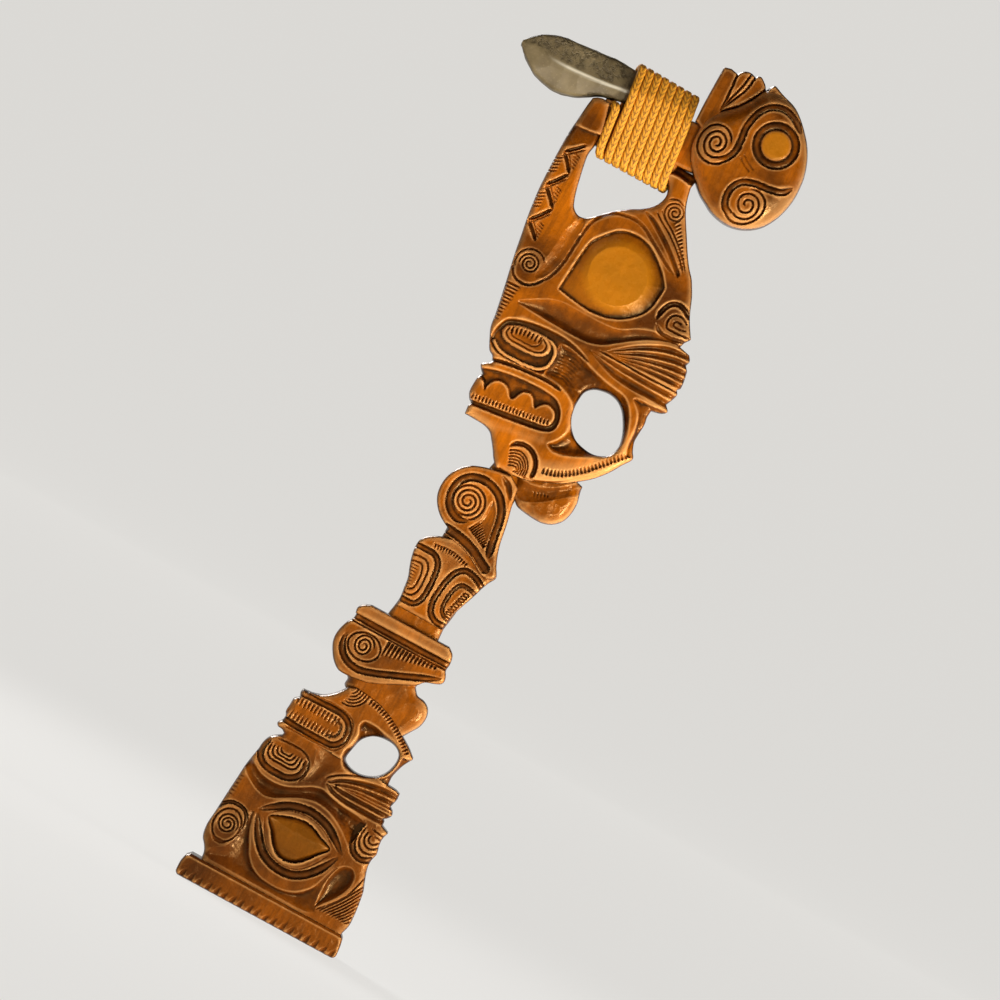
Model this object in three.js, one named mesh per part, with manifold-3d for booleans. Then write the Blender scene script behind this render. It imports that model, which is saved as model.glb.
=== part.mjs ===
// Ceremonial stone adze: a carved wooden haft with two profile heads, a ground stone blade
// that lies on the haft's spar, and one cord that lashes the two together.
// Millimetres, +Z up along the haft, +X away from the cutting edge, carved faces to -Y and +Y.
// The origin is the middle of the underside of the foot.
import * as THREE from 'three';
import { mergeVertices } from 'three/addons/utils/BufferGeometryUtils.js';
import Module from 'manifold-3d';

const wasm = await Module();
wasm.setup();

// Driving dimensions
const FOOT_HEIGHT = 14.5;
const FOOT_HALF_WIDTH = 56.5;
const FOOT_HALF_DEPTH = 29;
const FOOT_CORNER = 3;
const FOOT_NOTCHES = 18;
const FOOT_NOTCH_HEIGHT = 5.5;
const FOOT_NOTCH_WIDTH = 3.6;
const FOOT_NOTCH_DEPTH = 1.6;

const LOWER_HEAD_HALF_DEPTH = 25;
const LOWER_JAW_HALF_DEPTH = 24;
const LOWER_CHIN_HALF_DEPTH = 18;
const SPOOL_HALF_DEPTH = 24.5;
const SPOOL_BAND_HALF_DEPTH = 26.5;
const NECK_HALF_DEPTH = 15;
const BLOCK_HALF_DEPTH = 20;
const TEARDROP_HALF_DEPTH = 22;
const UPPER_CHIN_HALF_DEPTH = 20;
const HEAD_HALF_DEPTH = 28.5;
const ARM_TIP_HALF_DEPTH = 19;
const KNOB_HALF_DEPTH = 30;
const TUFT_HALF_DEPTH = 22;
const EDGE_ROUND = 4;

const SPAR_HALF_DEPTH = 14.5;
// The ends of the arms, the spar, the knob, the blade and the lashing go with the spar's underside
const SPAR_UNDERSIDE = 520.5;
const SPAR_HEIGHT = 41.1;
const SPAR_LEFT = -50;
const SPAR_RIGHT = 9;
const SEAT_TILT = 0.23;
const SEAT_HEIGHT = SPAR_UNDERSIDE + SPAR_HEIGHT;

const CORD_DIAMETER = 4.5;
const CORD_PITCH = 5.4;
const CORD_TURNS = 8;
const CORD_START = -40.6;
const CORD_LEAD = 1.4;
const CORD_SLANT = 0.106;
const CORD_MIDDLE = SPAR_UNDERSIDE + 27.5;
const CORD_TAIL = 0.95;
const CORD_GROOVE = 5.4;
const CORD_SIDES = 6;
const CORD_STEPS = 24;
const SEAT_GAP = 0.3;

const BLADE_TIP = -113;
const BLADE_BUTT = 1;
const BLADE_EDGE_HALF_WIDTH = 22;
const BLADE_BUTT_HALF_WIDTH = 12;
const BLADE_SEATED = -54;
const BLADE_RISE = 13.3;
const BLADE_TOP = SEAT_HEIGHT + BLADE_RISE;
const BLADE_RIDGE_DROP = 3.8;
const BLADE_RIDGE = SEAT_HEIGHT - BLADE_RIDGE_DROP;
const BLADE_TOP_SHARE = 0.56;

const CURVE_STEP = 5;
const OUTLINE_SLACK = 0.2;
const MESH_SLACK = 0.05;
const WIDE_GOUGE = 4.7;
const SPIRAL_STEPS = 9;

// Finishes
const carvedWood = new THREE.MeshStandardMaterial({ color: 0x8a4a1c, roughness: 0.38, metalness: 0 });
const groundStone = new THREE.MeshStandardMaterial({ color: 0x6b6455, roughness: 0.7, metalness: 0 });
const twistedCord = new THREE.MeshStandardMaterial({ color: 0xd68a26, roughness: 0.8, metalness: 0 });

// Curves in the carved face, as lists of [x, z]
function smooth(points, closed = false, step = CURVE_STEP) {
  const nodes = points.map(([x, z]) => new THREE.Vector3(x, 0, z));
  const curve = new THREE.CatmullRomCurve3(nodes, closed, 'centripetal');
  curve.arcLengthDivisions = 400;
  const steps = Math.max(2, Math.round(curve.getLength() / step));
  const sampled = curve.getSpacedPoints(steps).map((p) => [p.x, p.z]);
  return closed ? sampled.slice(0, -1) : sampled;
}

function join(...stretches) {
  const points = [];
  for (const stretch of stretches) {
    for (const [x, z] of stretch) {
      const last = points[points.length - 1];
      if (!last || Math.hypot(x - last[0], z - last[1]) > 0.2) points.push([x, z]);
    }
  }
  const first = points[0];
  const last = points[points.length - 1];
  if (Math.hypot(first[0] - last[0], first[1] - last[1]) < 0.2) points.pop();
  return points;
}

// Leaves out the points that lie on the straight line between their neighbours
function tidyOutline(points, slack = OUTLINE_SLACK) {
  const kept = [];
  points.forEach((point, i) => {
    const before = kept.length ? kept[kept.length - 1] : points[points.length - 1];
    const after = points[(i + 1) % points.length];
    const along = Math.hypot(after[0] - before[0], after[1] - before[1]);
    const off = Math.abs((point[0] - before[0]) * (after[1] - before[1])
      - (point[1] - before[1]) * (after[0] - before[0])) / along;
    if (off > slack) kept.push(point);
  });
  return kept;
}

function oval(cx, cz, rx, rz, count = 24) {
  return Array.from({ length: count }, (_, i) => {
    const a = (i / count) * 2 * Math.PI;
    return [cx + rx * Math.cos(a), cz + rz * Math.sin(a)];
  });
}

// A spiral from its eye outwards; start and turns in full circles, counter-clockwise when turns > 0
function spiral(cx, cz, inner, outer, start, turns, stretch = 1) {
  const count = Math.ceil(Math.abs(turns) * SPIRAL_STEPS);
  return Array.from({ length: count + 1 }, (_, i) => {
    const t = i / count;
    const a = (start + turns * t) * 2 * Math.PI;
    const r = inner + (outer - inner) * t;
    return [cx + r * stretch * Math.cos(a), cz + r * Math.sin(a)];
  });
}

// Solids
function toSolid(geometry) {
  const bare = geometry.clone();
  for (const name of Object.keys(bare.attributes)) {
    if (name !== 'position') bare.deleteAttribute(name);
  }
  const merged = mergeVertices(bare, 1e-4);
  const solid = new wasm.Manifold(new wasm.Mesh({
    numProp: 3,
    vertProperties: new Float32Array(merged.attributes.position.array),
    triVerts: new Uint32Array(merged.index.array),
  }));
  return solid;
}

function toGeometry(solid) {
  const { vertProperties, triVerts } = solid.getMesh();
  const geometry = new THREE.BufferGeometry();
  geometry.setAttribute('position', new THREE.BufferAttribute(new Float32Array(vertProperties), 3));
  geometry.setIndex(new THREE.BufferAttribute(new Uint32Array(triVerts), 1));
  return geometry;
}

const toVectors = (loop) => loop.map(([x, z]) => new THREE.Vector2(x, z));

// An outline drawn in by the width of its rounded edge, or a hole let out by it. Where the outline
// is too tight for the whole width, its points move less.
function insetLoop(loop, width, isHole) {
  const count = loop.length;
  const turn = (THREE.ShapeUtils.area(toVectors(loop)) > 0 ? 1 : -1) * (isHole ? -1 : 1);
  const moves = loop.map(([x, z], i) => {
    const [px, pz] = loop[(i - 1 + count) % count];
    const [nx, nz] = loop[(i + 1) % count];
    const inDir = new THREE.Vector2(x - px, z - pz).normalize();
    const outDir = new THREE.Vector2(nx - x, nz - z).normalize();
    const bisector = new THREE.Vector2(-inDir.y - outDir.y, inDir.x + outDir.x).multiplyScalar(turn);
    return bisector.multiplyScalar(1 / Math.max(0.5, 1 + inDir.dot(outDir)));
  });
  const widths = new Array(count).fill(width);
  const moved = () => loop.map(([x, z], i) => [x + moves[i].x * widths[i], z + moves[i].y * widths[i]]);
  for (let round = 0; round < 30; round++) {
    const now = moved();
    let folded = false;
    for (let i = 0; i < count; i++) {
      const j = (i + 1) % count;
      const before = [loop[j][0] - loop[i][0], loop[j][1] - loop[i][1]];
      const after = [now[j][0] - now[i][0], now[j][1] - now[i][1]];
      const kept = (before[0] * after[0] + before[1] * after[1]) / (before[0] ** 2 + before[1] ** 2);
      if (kept < 0.15) {
        folded = true;
        for (const k of [(i - 1 + count) % count, i, j, (j + 1) % count]) widths[k] *= 0.85;
      }
    }
    if (!folded) break;
  }
  return moved();
}

// A closed solid through rings with the same number of points, and a lid on both ends.
// A round trip without ends has no lids. Its faces are turned outwards by its own volume.
function loft(rings, { closed = false, lid = null } = {}) {
  const sides = rings[0].length;
  const faces = [];
  for (let i = 0; i < rings.length - (closed ? 0 : 1); i++) {
    const next = (i + 1) % rings.length;
    for (let k = 0; k < sides; k++) {
      const l = (k + 1) % sides;
      faces.push([i * sides + k, next * sides + k, next * sides + l]);
      faces.push([i * sides + k, next * sides + l, i * sides + l]);
    }
  }
  if (!closed) {
    const last = (rings.length - 1) * sides;
    const fan = Array.from({ length: sides - 2 }, (_, k) => [0, k + 1, k + 2]);
    for (const [a, b, c] of lid ?? fan) {
      faces.push([a, b, c]);
      faces.push([last + a, last + c, last + b]);
    }
  }
  const points = rings.flat();
  const volume = faces.reduce((sum, face) => {
    const [a, b, c] = face.map((i) => new THREE.Vector3(...points[i]));
    return sum + a.dot(b.cross(c));
  }, 0);
  if (volume < 0) faces.forEach((face) => face.reverse());
  const geometry = new THREE.BufferGeometry();
  geometry.setAttribute('position', new THREE.Float32BufferAttribute(points.flat(), 3));
  geometry.setIndex(faces.flat());
  return geometry;
}

// A part of the haft: an outline in the carved face, thick along Y, with its edges rounded.
// Its half depth runs evenly from half[0] at its lowest point to half[1] at its highest.
class Slab {
  constructor({ outline, holes = [], half, edge = EDGE_ROUND, swell = edge, rows = 1 }) {
    this.outline = tidyOutline(outline);
    this.edge = edge;
    this.swell = swell;
    this.low = Math.min(...outline.map((p) => p[1]));
    this.high = Math.max(...outline.map((p) => p[1]));
    this.half = Array.isArray(half) ? half : [half, half];
    this.rows = rows;
    this.holes = holes.map((hole) => tidyOutline(hole));
  }

  depthAt(z) {
    const t = THREE.MathUtils.clamp((z - this.low) / (this.high - this.low), 0, 1);
    return THREE.MathUtils.lerp(this.half[0], this.half[1], t);
  }

  // Height of the carved face above the middle plane, with the rounding at the edge
  faceAt(x, z) {
    const points = this.outline;
    let near = Infinity;
    for (let i = 0; i < points.length; i++) {
      const [ax, az] = points[i];
      const [bx, bz] = points[(i + 1) % points.length];
      const lengthSq = (bx - ax) ** 2 + (bz - az) ** 2;
      const t = THREE.MathUtils.clamp(((x - ax) * (bx - ax) + (z - az) * (bz - az)) / lengthSq, 0, 1);
      near = Math.min(near, Math.hypot(x - ax - t * (bx - ax), z - az - t * (bz - az)));
    }
    const scale = this.depthAt(z) / this.half[0];
    const inset = THREE.MathUtils.clamp(1 - near / this.edge, 0, 1);
    return (this.half[0] - this.swell + this.swell * Math.sqrt(1 - inset * inset)) * scale;
  }

  // Rings from the back face round the rounded edge to the front face, and a flat lid on each
  solid() {
    const loops = [this.outline, ...this.holes];
    const lids = loops.map((loop, i) => insetLoop(loop, this.edge, i > 0));
    const rings = [];
    for (const side of [1, -1]) {
      const quarter = Array.from({ length: this.rows + 1 }, (_, i) => (i / this.rows) * (Math.PI / 2));
      if (side > 0) quarter.reverse();
      for (const t of quarter) {
        const y = side * (this.half[0] - this.swell + this.swell * Math.sin(t));
        rings.push({ y, inset: 1 - Math.cos(t) });
      }
    }
    const vertices = [];
    for (const { y, inset } of rings) {
      loops.forEach((loop, n) => loop.forEach(([x, z], i) => {
        const px = THREE.MathUtils.lerp(x, lids[n][i][0], inset);
        const pz = THREE.MathUtils.lerp(z, lids[n][i][1], inset);
        vertices.push(px, y * (this.depthAt(pz) / this.half[0]), pz);
      }));
    }
    const count = loops.flat().length;
    const faces = [];
    for (let r = 0; r < rings.length - 1; r++) {
      let start = 0;
      loops.forEach((loop, n) => {
        for (let i = 0; i < loop.length; i++) {
          const a = r * count + start + i;
          const b = r * count + start + ((i + 1) % loop.length);
          const turned = (THREE.ShapeUtils.area(toVectors(loop)) > 0) !== (n === 0);
          if (turned) faces.push(a, a + count, b, b, a + count, b + count);
          else faces.push(a, b, a + count, b, b + count, a + count);
        }
        start += loop.length;
      });
    }
    const [outer, ...inner] = lids.map(toVectors);
    const outerTurned = THREE.ShapeUtils.area(outer) < 0;
    if (outerTurned) outer.reverse();
    const order = lids.flat().map((_, i) => (outerTurned && i < outer.length ? outer.length - 1 - i : i));
    for (const triangle of THREE.ShapeUtils.triangulateShape(outer, inner)) {
      const [a, b, c] = triangle.map((i) => order[i]);
      const last = (rings.length - 1) * count;
      faces.push(a, c, b, last + a, last + b, last + c);
    }
    const geometry = new THREE.BufferGeometry();
    geometry.setAttribute('position', new THREE.Float32BufferAttribute(vertices, 3));
    geometry.setIndex(faces);
    return toSolid(geometry);
  }
}

// A gouge cut: a rounded trough that follows a curve on the carved face of a slab.
// It is thin at both ends when pointed, and a closed curve gives a ring.
function gouge(slab, points, { width, depth, closed = false, pointed = 0, side = -1 }) {
  const section = width < WIDE_GOUGE ? [[-0.62, -0.5], [0, 1], [0.62, -0.5]]
    : [[-0.6, -0.5], [-0.26, 0.9], [0.26, 0.9], [0.6, -0.5]];
  const count = points.length;
  const rings = points.map(([x, z], i) => {
    const before = points[closed ? (i - 1 + count) % count : Math.max(i - 1, 0)];
    const after = points[closed ? (i + 1) % count : Math.min(i + 1, count - 1)];
    const along = Math.hypot(after[0] - before[0], after[1] - before[1]);
    const across = [-(after[1] - before[1]) / along, (after[0] - before[0]) / along];
    const end = closed ? 1 : Math.min(1, Math.min(i, count - 1 - i) / Math.max(pointed, 1));
    const swell = pointed ? 0.3 + 0.7 * end : 1;
    const surface = slab.faceAt(x, z);
    return section.map(([a, b]) => {
      const low = b * depth * swell;
      return [x + across[0] * a * width * swell, side * (surface - low), z + across[1] * a * width * swell];
    });
  });
  return toSolid(loft(rings, { closed }));
}

// A sunk field: a closed outline pressed into the carved face, with sloping walls
function sunk(slab, outline, { depth, slope, side = -1 }) {
  const rim = tidyOutline(outline);
  if (THREE.ShapeUtils.area(toVectors(rim)) < 0) rim.reverse();
  const floor = insetLoop(rim, slope, false);
  const ring = (loop, rise) => loop.map(([x, z]) => [x, side * (slab.depthAt(z) + rise), z]);
  const lid = THREE.ShapeUtils.triangulateShape(toVectors(rim), []);
  return toSolid(loft([ring(rim, 4), ring(rim, 0), ring(floor, -depth)], { lid }));
}

const bothSides = (make) => [-1, 1].map(make);

// Haft outlines, from the foot up
const foot = new Slab({
  outline: join(
    [[-FOOT_HALF_WIDTH, FOOT_CORNER], [-FOOT_HALF_WIDTH + FOOT_CORNER, 0]],
    [[FOOT_HALF_WIDTH - FOOT_CORNER, 0], [FOOT_HALF_WIDTH, FOOT_CORNER]],
    [[FOOT_HALF_WIDTH, FOOT_HEIGHT - FOOT_CORNER], [FOOT_HALF_WIDTH - FOOT_CORNER, FOOT_HEIGHT]],
    [[-FOOT_HALF_WIDTH + FOOT_CORNER, FOOT_HEIGHT], [-FOOT_HALF_WIDTH, FOOT_HEIGHT - FOOT_CORNER]],
  ),
  half: FOOT_HALF_DEPTH, edge: 1.5,
});

const lowerHead = new Slab({
  outline: join(
    smooth([[-46, FOOT_HEIGHT - 1], [-47, 20], [-51.8, 28], [-53, 36], [-51.8, 46], [-51, 60], [-50, 75],
      [-48, 87], [-46.8, 97], [-43, 103.8], [-36, 107.5]]),
    smooth([[-20, 109], [0, 105.4], [10, 104.6], [20, 106.6], [28, 110.6], [36, 111.4]]),
    smooth([[43.5, 109.5], [44, 98], [44.5, 87.5], [48.6, 84.5], [47.2, 76], [48.4, 69.5], [47.4, 62],
      [50.5, 50], [53.2, 40], [54.6, 28], [54.3, 21], [53, FOOT_HEIGHT - 1]]),
  ),
  half: LOWER_HEAD_HALF_DEPTH,
});

const lowerJaw = new Slab({
  outline: join(
    [[36, 97], [-30, 97]],
    smooth([[-38, 108], [-43.8, 110.6], [-44.6, 113], [-42.4, 116.5], [-43.2, 123], [-42.9, 130.5]]),
    smooth([[-40, 133], [-41, 137.6], [-35, 138.6], [-28, 140.6], [-22, 145.2], [-18, 150.5]]),
    smooth([[-15, 154], [-10, 154.8], [0, 153.5], [10.4, 151], [20, 146.4], [28, 141.4], [35, 136.8],
      [40.4, 132.2]]),
    smooth([[38, 128], [35.8, 123], [34.2, 116.5], [34.6, 110.6], [36, 104]]),
  ),
  holes: [smooth([[5.5, 114], [9, 109.2], [18, 108.3], [25.4, 111.8], [29.4, 116.4], [31.2, 121], [31.9, 126],
    [30.6, 131], [26, 134], [18, 135.6], [11, 134.5], [6.5, 130], [4.6, 122]], true)],
  half: LOWER_JAW_HALF_DEPTH, edge: 1.7, swell: 3,
});

const lowerChin = new Slab({
  outline: join(
    smooth([[-20, 153], [-19.5, 157], [-22, 162]]),
    [[-20, 172], [21, 176]],
    smooth([[21, 170.5], [26, 168], [31.5, 166], [35, 160], [35.2, 154.5], [33.6, 150], [30, 145], [27, 140]]),
    [[-15, 147]],
  ),
  half: LOWER_CHIN_HALF_DEPTH, edge: 5, swell: 7, rows: 2,
});

const spool = new Slab({
  outline: join(
    smooth([[-20, 159.5], [-27, 159], [-32.3, 162.5], [-36.4, 168], [-38.8, 174], [-39, 180], [-37.5, 185]]),
    smooth([[-36, 189.5], [-33.8, 192], [-34, 198]]),
    [[32, 198]],
    smooth([[32.4, 194.5], [31.8, 190], [34.4, 185], [33.8, 181.8], [26, 178.2], [20.4, 174]]),
    smooth([[10, 169], [-4, 161.5]]),
  ),
  half: SPOOL_HALF_DEPTH,
});

const spoolBand = new Slab({
  outline: join(
    smooth([[-34.4, 195.2], [-35, 198.5], [-32.6, 202], [-27, 204.4]]),
    smooth([[27, 204], [31.2, 200.5], [32.4, 195.2]]),
  ),
  half: SPOOL_BAND_HALF_DEPTH, edge: 2.5,
});

const neck = new Slab({
  outline: join(
    smooth([[-14, 200], [-14.5, 213], [-14.5, 226]]),
    smooth([[-10, 255], [-9, 290], [-2, 325]]),
    smooth([[19.5, 325], [19.6, 290], [24, 262], [20, 222]]),
    smooth([[18.4, 211], [18.5, 200]]),
  ),
  half: NECK_HALF_DEPTH, edge: 3,
});

const block = new Slab({
  outline: join(
    smooth([[-15, 212], [-15.4, 221], [-17, 231], [-20.3, 241.5], [-21.5, 250], [-20.6, 255.4], [-15, 260.2],
      [-9, 262.6], [0, 264.6], [9, 263.4]]),
    smooth([[20, 259.5], [28.5, 257], [31.9, 254.6], [29, 250], [26.2, 240.5], [23.4, 231], [20, 224], [18.4, 214]]),
  ),
  half: BLOCK_HALF_DEPTH, edge: 3,
});

const teardrop = new Slab({
  outline: join(
    smooth([[-10, 269.5], [-16.5, 272.7], [-21.2, 277.2], [-24.8, 283.2], [-25.8, 290], [-24.6, 297.7],
      [-20.8, 304.6], [-15, 309.6], [-8.5, 312.3], [0, 315], [10, 318.5]]),
    smooth([[17.5, 311], [19.2, 300], [21.2, 291], [22.7, 282], [25, 270], [29.6, 260]]),
    smooth([[27.5, 258.5], [20, 261.5], [10, 266.5], [0, 269.6]]),
  ),
  half: TEARDROP_HALF_DEPTH,
});

const upperChin = new Slab({
  outline: join(
    smooth([[12, 306], [18.5, 303.4], [22.5, 300.8], [30, 299.3], [40.4, 299], [47, 301.5], [51.5, 306],
      [53.8, 312.3], [54, 320], [51, 330]]),
    [[30, 330], [12, 320]],
  ),
  half: UPPER_CHIN_HALF_DEPTH, edge: 5, swell: 7, rows: 2,
});

// The head narrows in depth up to the tips of its two arms, which hold the spar between them
const head = new Slab({
  outline: join(
    smooth([[-0.8, 315.8], [-5, 320], [-8.3, 325], [-12, 330], [-16, 334], [-22, 335.7], [-33.6, 336.2]]),
    smooth([[-34.6, 341], [-35.4, 345.2], [-38.3, 350], [-37.8, 360]]),
    smooth([[-36, 363], [-39.8, 367], [-38.2, 370.4]]),
    smooth([[-34.6, 372.8], [-39.2, 378], [-42.8, 384.3], [-45.6, 391.5], [-48.6, 410], [-54.4, 440],
      [-59, 470], [-60.5, 490], [-60.7, 506], [-60.3, SPAR_UNDERSIDE + 1.5], [-58.6, SPAR_UNDERSIDE + 19.5], [-57.4, SPAR_UNDERSIDE + 25.7]]),
    smooth([[-51.8, SPAR_UNDERSIDE + 28.4], [-46.4, SPAR_UNDERSIDE + 27.9]]),
    smooth([[-44, SPAR_UNDERSIDE + 19.5], [-41.6, SPAR_UNDERSIDE + 9.5], [-42.8, SPAR_UNDERSIDE - 2.5], [-41.6, 506], [-39.4, 493], [-37.2, 485], [-34.6, 480],
      [-31, 477.8], [-27, 478], [-19, 484.2], [-10, 492.4], [-2, 497.8], [6, 503.6], [11.6, 509.5],
      [12.2, SPAR_UNDERSIDE - 4.5], [9.4, SPAR_UNDERSIDE + 1.3], [3, SPAR_UNDERSIDE + 7.5]]),
    [[4, SPAR_UNDERSIDE + 13.5], [24, SPAR_UNDERSIDE + 13.5]],
    smooth([[24.2, SPAR_UNDERSIDE + 3.5], [26.4, 512.7], [31, 504.5], [40.5, 489], [50, 476.5], [55.5, 467], [62.7, 451],
      [67.4, 443.2], [64.5, 436]]),
    smooth([[73, 432.5], [75, 425], [76.4, 415], [76.2, 408], [75, 396]]),
    smooth([[66, 393.5], [66.8, 384], [67, 371.5], [71.2, 361], [67, 354], [62, 346], [55, 338], [47, 331.5],
      [40, 326.5], [30, 322], [20, 318], [10, 316]]),
  ),
  holes: [smooth([[24.4, 373], [25.4, 383], [30, 387.8], [40, 389.5], [49, 386], [56, 376.5], [60, 364],
    [56.5, 355.5], [47.5, 351.7], [37, 353.2], [29.2, 359.2], [25.6, 365.5]], true)],
  half: [HEAD_HALF_DEPTH, ARM_TIP_HALF_DEPTH],
});

const seatAt = (x) => SEAT_HEIGHT + SEAT_TILT * x;

// Where the cord is along the spar: turn 0 is on the +Y side, 0.25 on top and 0.5 on the -Y side
function cordX(turn, z) {
  const lead = CORD_LEAD * (1 - THREE.MathUtils.smoothstep(turn, 0.3, 1.1));
  return CORD_START + (turn - 0.5) * CORD_PITCH - lead - CORD_SLANT * (z - CORD_MIDDLE);
}

// The lashing's seat: both faces come down to the depth of the spar, as far as the turns reach
function lashingSeat(side) {
  const room = CORD_DIAMETER / 2 + SEAT_GAP + 0.1;
  const low = SPAR_UNDERSIDE - 2 * CORD_DIAMETER;
  const high = SEAT_HEIGHT + 20;
  const last = CORD_TURNS + (side > 0 ? CORD_TAIL : 0.5);
  const seat = new THREE.Shape(toVectors([[cordX(0, low) - room, low], [cordX(last, low) + room, low],
    [cordX(last, high) + room, high], [cordX(0, high) - room, high]]));
  const depth = HEAD_HALF_DEPTH;
  const geometry = new THREE.ExtrudeGeometry(seat, { depth, bevelEnabled: false });
  geometry.rotateX(Math.PI / 2);
  geometry.translate(0, side > 0 ? SPAR_HALF_DEPTH + depth : -SPAR_HALF_DEPTH, 0);
  return toSolid(geometry);
}

// The groove that carries the short turn across the top of the spar, under the blade
function cordGroove() {
  const half = CORD_DIAMETER / 2 + SEAT_GAP + 0.3;
  const x = cordX(0.25, seatAt(CORD_START) - CORD_DIAMETER / 2);
  const floor = seatAt(x) - CORD_GROOVE;
  const trough = new THREE.Shape(toVectors([[x - half - 1.4, floor + 12], [x - half, floor], [x + half, floor],
    [x + half + 0.8, floor + 12]]));
  const depth = 3 * SPAR_HALF_DEPTH;
  const geometry = new THREE.ExtrudeGeometry(trough, { depth, bevelEnabled: false });
  geometry.rotateX(Math.PI / 2);
  geometry.translate(0, depth / 2, 0);
  return toSolid(geometry);
}

// Points whose heights are measured from the spar's underside
const onSpar = (points) => points.map(([x, z]) => [x, SPAR_UNDERSIDE + z]);

const spar = new Slab({
  outline: join(
    [[SPAR_LEFT, SPAR_UNDERSIDE + 2], [SPAR_LEFT, seatAt(SPAR_LEFT)], [SPAR_RIGHT - 6, seatAt(SPAR_RIGHT - 6)]],
    [[SPAR_RIGHT, seatAt(SPAR_RIGHT - 6)], [SPAR_RIGHT, SPAR_UNDERSIDE], [-38, SPAR_UNDERSIDE]],
  ),
  half: SPAR_HALF_DEPTH, edge: 3,
});

const knobNeck = new Slab({
  outline: join(onSpar([[-4, 13]]), [[-4, SEAT_HEIGHT - 5.6], [1.6, SEAT_HEIGHT], [8, SEAT_HEIGHT + 1.7]],
    onSpar([[30, 49.5], [34, 24.5], [28, 14.9]])),
  half: SPAR_HALF_DEPTH + 1.5, edge: 3,
});

const knob = new Slab({
  outline: smooth(onSpar([[15, 31.5], [15, 59.5], [22, 78.5], [35, 84.3], [50, 82.3], [62.5, 75.3], [73.8, 62.8],
    [81.3, 45.3], [82.5, 31.5], [78, 12.8], [66.7, -0.1], [53.3, -4.2], [40, -1.3], [29, 4.1], [19, 15.5]]),
  true),
  half: KNOB_HALF_DEPTH, edge: 15, swell: 21, rows: 3,
});

const tuft = new Slab({
  outline: join(
    smooth(onSpar([[4.9, 45.3], [4.5, 64.5], [4.8, 81.1]])),
    smooth(onSpar([[9.6, 82.7], [15, 81.5]])),
    smooth(onSpar([[17, 85.1], [20.5, 86.1], [24, 86.5], [28, 86.8], [33, 84.1], [37, 85.7], [45, 83.5]])),
    onSpar([[40, 64.5], [16, 45.5]]),
  ),
  half: TUFT_HALF_DEPTH, edge: 3,
});

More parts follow.
